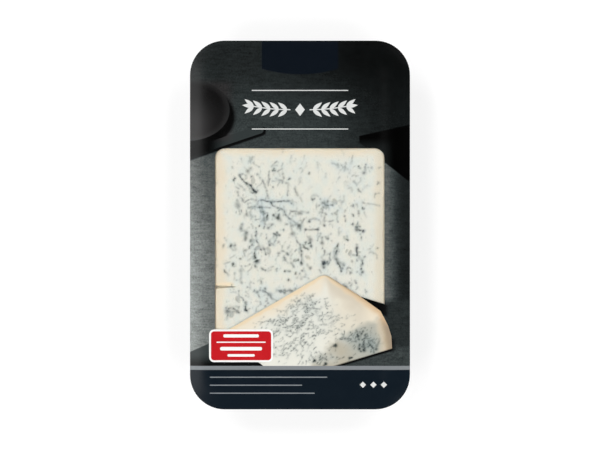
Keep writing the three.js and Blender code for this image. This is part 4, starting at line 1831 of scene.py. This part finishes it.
@dataclass
class PrintedWedge:
    """The picture of a wedge: a fine sheet whose faces, rind and veins are stored on its corners."""

    lid: Lid
    cell: float = 0.32
    margin: float = 1.0
    thickness: float = 0.08
    ridge_knee: Point = (17.9, -54.5)
    ridge_end: Point = (36.2, -44.8)
    ridge_foot: Point = (6.5, -65.6)
    end_top: Point = (37.0, -43.0)
    end_foot: Point = (39.8, -60.0)
    crest_rind: float = 2.6
    crest_cell: float = 3.1
    ridge_soft: float = 4.5
    ridge_wave: float = 1.2
    ridge_cell: float = 2.3
    end_soft: float = 7.0
    end_rise: float = 2.5
    right_run: float = 26.0
    brink_width: float = 0.7
    brink_dusk: float = 0.7
    rim_width: float = 2.2
    rim_low: float = -49.0
    rim_fade: float = 4.0
    foot_shade: float = 0.5
    seed: int = 29

    def build(self) -> bpy.types.Object:
        """Cuts the sheet out of a grid along the outline and lays it on the printed layer.

        Returns:
            The sheet.
        """
        corners = self.lid.wedge.corners()
        spots = np.array(corners)
        low, high = spots.min(axis=0) - self.margin, spots.max(axis=0) + self.margin
        piece = Bench.grid("print_wedge", tuple(low), tuple(high), self.cell)
        for first, second in pairwise([*corners, corners[0]]):
            outward = Vector((second[1] - first[1], first[0] - second[0], 0.0)).normalized()
            start = (first[0] * MM, first[1] * MM, 0.0)
            bpy.ops.mesh.select_all(action="SELECT")
            bpy.ops.mesh.bisect(plane_co=start, plane_no=outward, clear_outer=True, threshold=1e-6)
        bpy.ops.object.mode_set(mode="OBJECT")
        places = Bench.places(piece)
        self.store(piece, places)
        front = self.lid.front
        underside = front.lid_height(front.inset_at(places))
        places[:, 2] = underside + self.lid.print_lift + self.lid.field_lift
        Bench.move(piece, places)
        Bench.modifier(piece, "SOLIDIFY", thickness=self.thickness * MM, offset=-1.0)
        return piece

    @staticmethod
    def beside(places: np.ndarray, first: Point, second: Point) -> np.ndarray:
        """Distance of places to the left of the line from first to second.

        Args:
            places: Rows that start with X and Y.
            first: A point of the line.
            second: A later point of the line.

        Returns:
            One distance for each row.
        """
        span = np.array(second) - np.array(first)
        away = places[:, :2] - np.array(first)
        return (span[0] * away[:, 1] - span[1] * away[:, 0]) / np.hypot(*span)

    def store(self, piece: bpy.types.Object, places: np.ndarray) -> None:
        """Stores the cut side, the rind and its dusk, the veins with their mist and the shaded foot.

        Args:
            piece: The sheet, still flat.
            places: Its corners in millimetres.
        """
        wedge = self.lid.wedge
        below_long = -self.beside(places, self.ridge_knee, self.ridge_end)
        below_short = -self.beside(places, self.ridge_foot, self.ridge_knee)
        uneven = lattice(places, self.ridge_cell, self.seed + 1)
        ridge = np.minimum(below_long, below_short) + self.ridge_wave * uneven
        side = np.clip(0.5 + ridge / self.ridge_soft, 0.0, 1.0)
        from_end = self.beside(places, self.end_foot, self.end_top)
        end = np.clip(0.5 - from_end / self.end_soft, 0.0, 1.0)
        end *= np.clip(0.5 + below_long / self.end_rise, 0.0, 1.0)
        under_left = -self.beside(places, wedge.foot, wedge.apex)
        under_right = -self.beside(places, wedge.apex, wedge.shoulder)
        wobble = 1.0 + 0.3 * lattice(places, self.crest_cell, self.seed)
        down_right = np.clip((places[:, 0] - wedge.apex[0]) / self.right_run, 0.0, 1.0)
        left_reach = self.crest_rind * wobble
        right_reach = (0.8 + 1.1 * down_right) * self.crest_rind * wobble
        crest = np.maximum(1.0 - under_left / left_reach, 1.0 - under_right / right_reach)
        rind = np.maximum(np.clip(crest * 1.3, 0.0, 1.0), end)
        depth = np.minimum(under_left / left_reach, under_right / right_reach)
        glow = np.clip(1.6 - depth * 0.5, 0.0, 1.0)
        veins = Veins(
            WEDGE_VEINS,
            self.seed,
            WEDGE_ROUTES,
            radius=0.18,
            steps=(1, 5),
            stride=(0.3, 0.75),
            wander=0.3,
            shades=(0.1, 1.1),
            smear_width=0.6,
            smear_share=0.19,
            mist_share=0.13,
        )
        vein, smear, halo = veins.paint(places)
        bare = np.clip(1.0 - 1.1 * rind - 0.45 * glow, 0.0, 1.0)
        brink = self.brink_dusk * np.exp(-((under_right / self.brink_width) ** 2))
        edge = [wedge.shoulder, *wedge.right]
        gaps = [-self.beside(places, first, second) for first, second in pairwise(edge)]
        from_edge = np.min(gaps, axis=0)
        high = np.clip((places[:, 1] - self.rim_low) / self.rim_fade, 0.0, 1.0) * down_right
        dusk = 1.05 * end + 0.5 * down_right * np.clip(crest, 0.0, 1.0) + brink
        over_foot = self.beside(places, *WEDGE_FOOT_LINE) / self.foot_shade
        stored = {
            "side": side * (1.0 - end),
            "rind": rind,
            "rim": 0.85 * np.exp(-((from_edge / self.rim_width) ** 2)) * high,
            "glow": glow * (1.0 - side),
            "dusk": np.clip(dusk, 0.0, 1.0),
            "vein": vein * bare,
            "smear": smear * bare,
            "halo": halo * bare,
            "shade": 0.8 * np.clip(1.0 - over_foot, 0.0, 1.0) ** 2,
        }
        for name, amounts in stored.items():
            Bench.mark(piece, name, amounts)

    def dress(self) -> bpy.types.Object:
        """Builds and finishes the picture.

        Returns:
            The finished sheet.
        """
        piece = Bench.finish(self.build(), "print")
        WedgePrint().dress(piece)
        return piece


@dataclass
class Badge:
    """The red badge with its white border, a rule and plain bars."""

    lid: Lid
    centre: Point = (-28.1, -57.6)
    width: float = 30.5
    height: float = 15.6
    corner: float = 2.4
    border: float = 0.9
    rule_y: float = -55.9
    rule_width: float = 23.4
    rule_height: float = 0.55
    bars: tuple[tuple[float, float, float], ...] = (
        (-52.9, 17.0, 1.5),
        (-59.0, 20.0, 1.7),
        (-62.2, 13.0, 1.2),
    )

    def dress(self) -> None:
        """Lays the border, the red field, the rule and the bars."""
        white = InkPrint(WHITE_INK)
        outer = rounded_box(self.centre, self.width, self.height, self.corner)
        inset = 2 * self.border
        inner_size = (self.width - inset, self.height - inset)
        inner = rounded_box(self.centre, *inner_size, self.corner - self.border)
        self.lid.field("badge_border", [outer], white, 2)
        self.lid.field("badge_field", [inner], InkPrint(RED_INK), 3)
        lines = [((self.centre[0], self.rule_y), self.rule_width, self.rule_height)]
        lines += [((self.centre[0], y), width, height) for y, width, height in self.bars]
        boxes = [rounded_box(middle, width, height, 0.45 * height, 4) for middle, width, height in lines]
        self.lid.field("badge_lines", boxes, white, 4)


@dataclass
class HeadOrnament:
    """A plain ornament at the head of the front: a lozenge between two leafy sprigs and two rules."""

    lid: Lid
    centre: Point = (0.0, 55.0)
    lozenge: float = 2.3
    lozenge_stretch: float = 1.3
    stem_start: float = 4.6
    stem_end: float = 22.0
    stem_height: float = 0.5
    stem_lift: float = 1.6
    leaves: int = 5
    leaf_length: float = 5.6
    leaf_width: float = 1.9
    leaf_lean: float = 38.0
    leaf_steps: int = 6
    rule_width: float = 46.0
    rule_height: float = 0.45
    rule_gap: float = 9.2

    def stem_y(self, x: float) -> float:
        """Height of the stem at a distance from the middle."""
        part = (abs(x) - self.stem_start) / (self.stem_end - self.stem_start)
        return self.centre[1] + self.stem_lift * part**2

    def leaf(self, base: Point, angle: float) -> list[Point]:
        """One pointed leaf from its base at an angle in degrees.

        Args:
            base: Where the leaf starts.
            angle: Its direction.

        Returns:
            The leaf's outline.
        """
        turn = math.radians(angle)
        parts = np.linspace(0.0, 1.0, self.leaf_steps + 1)
        swell = np.sin(np.pi * parts**0.8) * self.leaf_width / 2
        rows = [(part * self.leaf_length, -wide) for part, wide in zip(parts, swell)]
        rows += [(part * self.leaf_length, wide) for part, wide in list(zip(parts, swell))[-2:0:-1]]
        cos, sin = math.cos(turn), math.sin(turn)
        return [(base[0] + u * cos - v * sin, base[1] + u * sin + v * cos) for u, v in rows]

    def sprig(self, side: int) -> list[list[Point]]:
        """Outlines of one sprig's leaves, to the right for 1 and to the left for -1.

        Args:
            side: The side.

        Returns:
            One outline for each leaf.
        """
        made = []
        for x in np.linspace(self.stem_start + 1.5, self.stem_end, self.leaves):
            base = (side * float(x), self.stem_y(float(x)))
            for lean in (self.leaf_lean, -self.leaf_lean):
                made.append(self.leaf(base, lean if side > 0 else 180.0 - lean))
        tip = (side * self.stem_end, self.stem_y(self.stem_end))
        made.append(self.leaf(tip, 6.0 if side > 0 else 174.0))
        return made

    def stem(self, side: int) -> list[Point]:
        """Outline of one sprig's stem.

        Args:
            side: The side, 1 or -1.

        Returns:
            The stem's outline.
        """
        half = self.stem_height / 2
        runs = [float(x) for x in np.linspace(self.stem_start, self.stem_end, 7)]
        lower = [(side * x, self.stem_y(x) - half) for x in runs]
        upper = [(side * x, self.stem_y(x) + half) for x in reversed(runs)]
        outline = lower + upper
        return outline if side > 0 else outline[::-1]

    def dress(self) -> None:
        """Lays the lozenge, sprigs and rules in pale ink."""
        x, y = self.centre
        size = self.lozenge
        diamond = lozenge_outline(self.centre, size, self.lozenge_stretch * size)
        rules = [
            rounded_box((x, y + side * self.rule_gap), self.rule_width, self.rule_height, 0.2, 3)
            for side in (1, -1)
        ]
        pale = InkPrint(PALE_INK)
        self.lid.field("head_rules", [diamond, *rules], pale)
        for side, name in ((1, "right"), (-1, "left")):
            self.lid.field(f"head_stem_{name}", [self.stem(side)], pale)
            self.lid.field(f"head_leaves_{name}", self.sprig(side), pale, 2)


@dataclass
class FootLines:
    """Plain rules and lozenges on the foot band."""

    lid: Lid
    left: float = -43.0
    rows: tuple[tuple[float, float], ...] = ((-72.6, 56.0), (-76.4, 44.0), (-80.2, 50.0))
    height: float = 0.5
    lozenges: tuple[float, ...] = (30.0, 35.0, 40.0)
    lozenge_y: float = -76.2
    lozenge: float = 1.5

    def dress(self) -> None:
        """Lays the rules and the lozenges."""
        rules = [
            rounded_box((self.left + width / 2, y), width, self.height, 0.45 * self.height, 3)
            for y, width in self.rows
        ]
        size = self.lozenge
        marks = [lozenge_outline((x, self.lozenge_y), size, size) for x in self.lozenges]
        self.lid.field("foot_rules", rules, InkPrint(GREY_INK))
        self.lid.field("foot_lozenges", marks, InkPrint(PALE_INK))


class FloorFinish(Finish):
    """Pale matt ground that glows softly, like a light table."""

    name = "pale_floor"
    tones = (srgb(164, 164, 164), srgb(168, 168, 168))
    glow = 0.7

    def paint(self) -> None:
        """Sets a nearly even pale colour and the glow."""
        cloud = self.noise(0.004, 2.0)
        self.set_surface(
            Base_Color=self.mix(cloud, *self.tones),
            Roughness=0.9,
            Specular_IOR_Level=0.0,
            Emission_Color=(1.0, 1.0, 1.0, 1.0),
            Emission_Strength=self.glow,
        )


@dataclass(frozen=True)
class Lamp:
    """One soft lamp at a great distance: its angle from straight up, its side, strength and size."""

    name: str
    tilt: float
    side: float
    strength: float
    size: float


LAMPS = (
    Lamp("rim_lamp", 27.0, 184.0, 0.40, 32.0),
    Lamp("key_lamp", 45.0, 135.0, 1.10, 24.0),
    Lamp("back_lamp", 45.0, 45.0, 0.82, 24.0),
    Lamp("right_lamp", 45.0, 315.0, 0.90, 24.0),
    Lamp("front_lamp", 45.0, 225.0, 0.82, 24.0),
)


@dataclass
class Studio:
    """Pale floor, soft lamps, a dim surround and a camera straight above the front."""

    front: Front
    floor_size: float = 8.0
    floor_drop: float = 0.0002
    surround: float = 0.75
    overhead: float = 0.0
    lens: float = 120.0
    sensor: float = 36.0
    photo_pixels: float = 600.0
    pack_pixels: float = 220.08
    horizon: float = 0.1
    zenith: float = 0.85

    def build(self) -> None:
        """Adds the floor, the lamps, the surround and the camera."""
        Bench.clear()
        bpy.ops.mesh.primitive_plane_add(size=self.floor_size, location=(0.0, 0.0, -self.floor_drop))
        floor = Bench.named("floor")
        FloorFinish().dress(floor)
        for lamp in LAMPS:
            self.add_lamp(lamp)
        self.add_surround()
        self.add_camera()
        bpy.context.scene.view_settings.view_transform = "Standard"

    def add_surround(self) -> None:
        """Adds a surround that is dim overhead and bright at the horizon."""
        world = bpy.data.worlds.new("surround")
        world.use_nodes = True
        tree = world.node_tree
        coords = tree.nodes.new("ShaderNodeTexCoord")
        axes = tree.nodes.new("ShaderNodeSeparateXYZ")
        ramp = tree.nodes.new("ShaderNodeMapRange")
        ramp.interpolation_type = "SMOOTHSTEP"
        tree.links.new(coords.outputs["Generated"], axes.inputs[0])
        tree.links.new(axes.outputs["Z"], ramp.inputs["Value"])
        levels = {"From Min": self.horizon, "From Max": self.zenith}
        levels |= {"To Min": self.surround, "To Max": self.overhead}
        for name, value in levels.items():
            ramp.inputs[name].default_value = value
        background = tree.nodes["Background"]
        background.inputs["Color"].default_value = (1.0, 1.0, 1.0, 1.0)
        tree.links.new(ramp.outputs[0], background.inputs["Strength"])
        bpy.context.scene.world = world

    @staticmethod
    def add_lamp(lamp: Lamp) -> None:
        """Adds one lamp that shines towards the pack.

        Args:
            lamp: The lamp to add.
        """
        tilt, side = math.radians(lamp.tilt), math.radians(lamp.side)
        flat = math.sin(tilt)
        towards = Vector((flat * math.cos(side), flat * math.sin(side), math.cos(tilt)))
        Bench.clear()
        bpy.ops.object.light_add(type="SUN", rotation=towards.to_track_quat("Z", "Y").to_euler())
        made = bpy.context.active_object
        made.name = lamp.name
        made.data.energy = lamp.strength
        made.data.angle = math.radians(lamp.size)

    def add_camera(self) -> None:
        """Sets the camera so that the front fills the photograph's share of the image."""
        view_width = self.front.width / (self.pack_pixels / self.photo_pixels) * MM
        above = view_width * self.lens / self.sensor + self.front.rim_top * MM
        Bench.clear()
        bpy.ops.object.camera_add(location=(0.0, 0.0, above), rotation=(0.0, 0.0, 0.0))
        camera = bpy.context.active_object
        camera.name = "front_camera"
        camera.data.lens = self.lens
        camera.data.sensor_width = self.sensor
        bpy.context.scene.camera = camera


def main() -> None:
    """Loads the frame, then builds and dresses each part of the pack."""
    logging.basicConfig(level=logging.INFO, format="%(name)s %(message)s")
    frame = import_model()
    LOG.info("frame with nodes %s", sorted(frame["nodes"]))
    front = Front.from_frame()
    Studio(front).build()
    Tray(front).dress()
    CheeseSlab().dress()
    lid = Lid(front)
    lid.add_film()
    lid.add_print()
    PrintedWedge(lid).dress()
    Badge(lid).dress()
    HeadOrnament(lid).dress()
    FootLines(lid).dress()
    Bench.clear()
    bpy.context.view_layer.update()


if __name__ == "__main__":
    main()
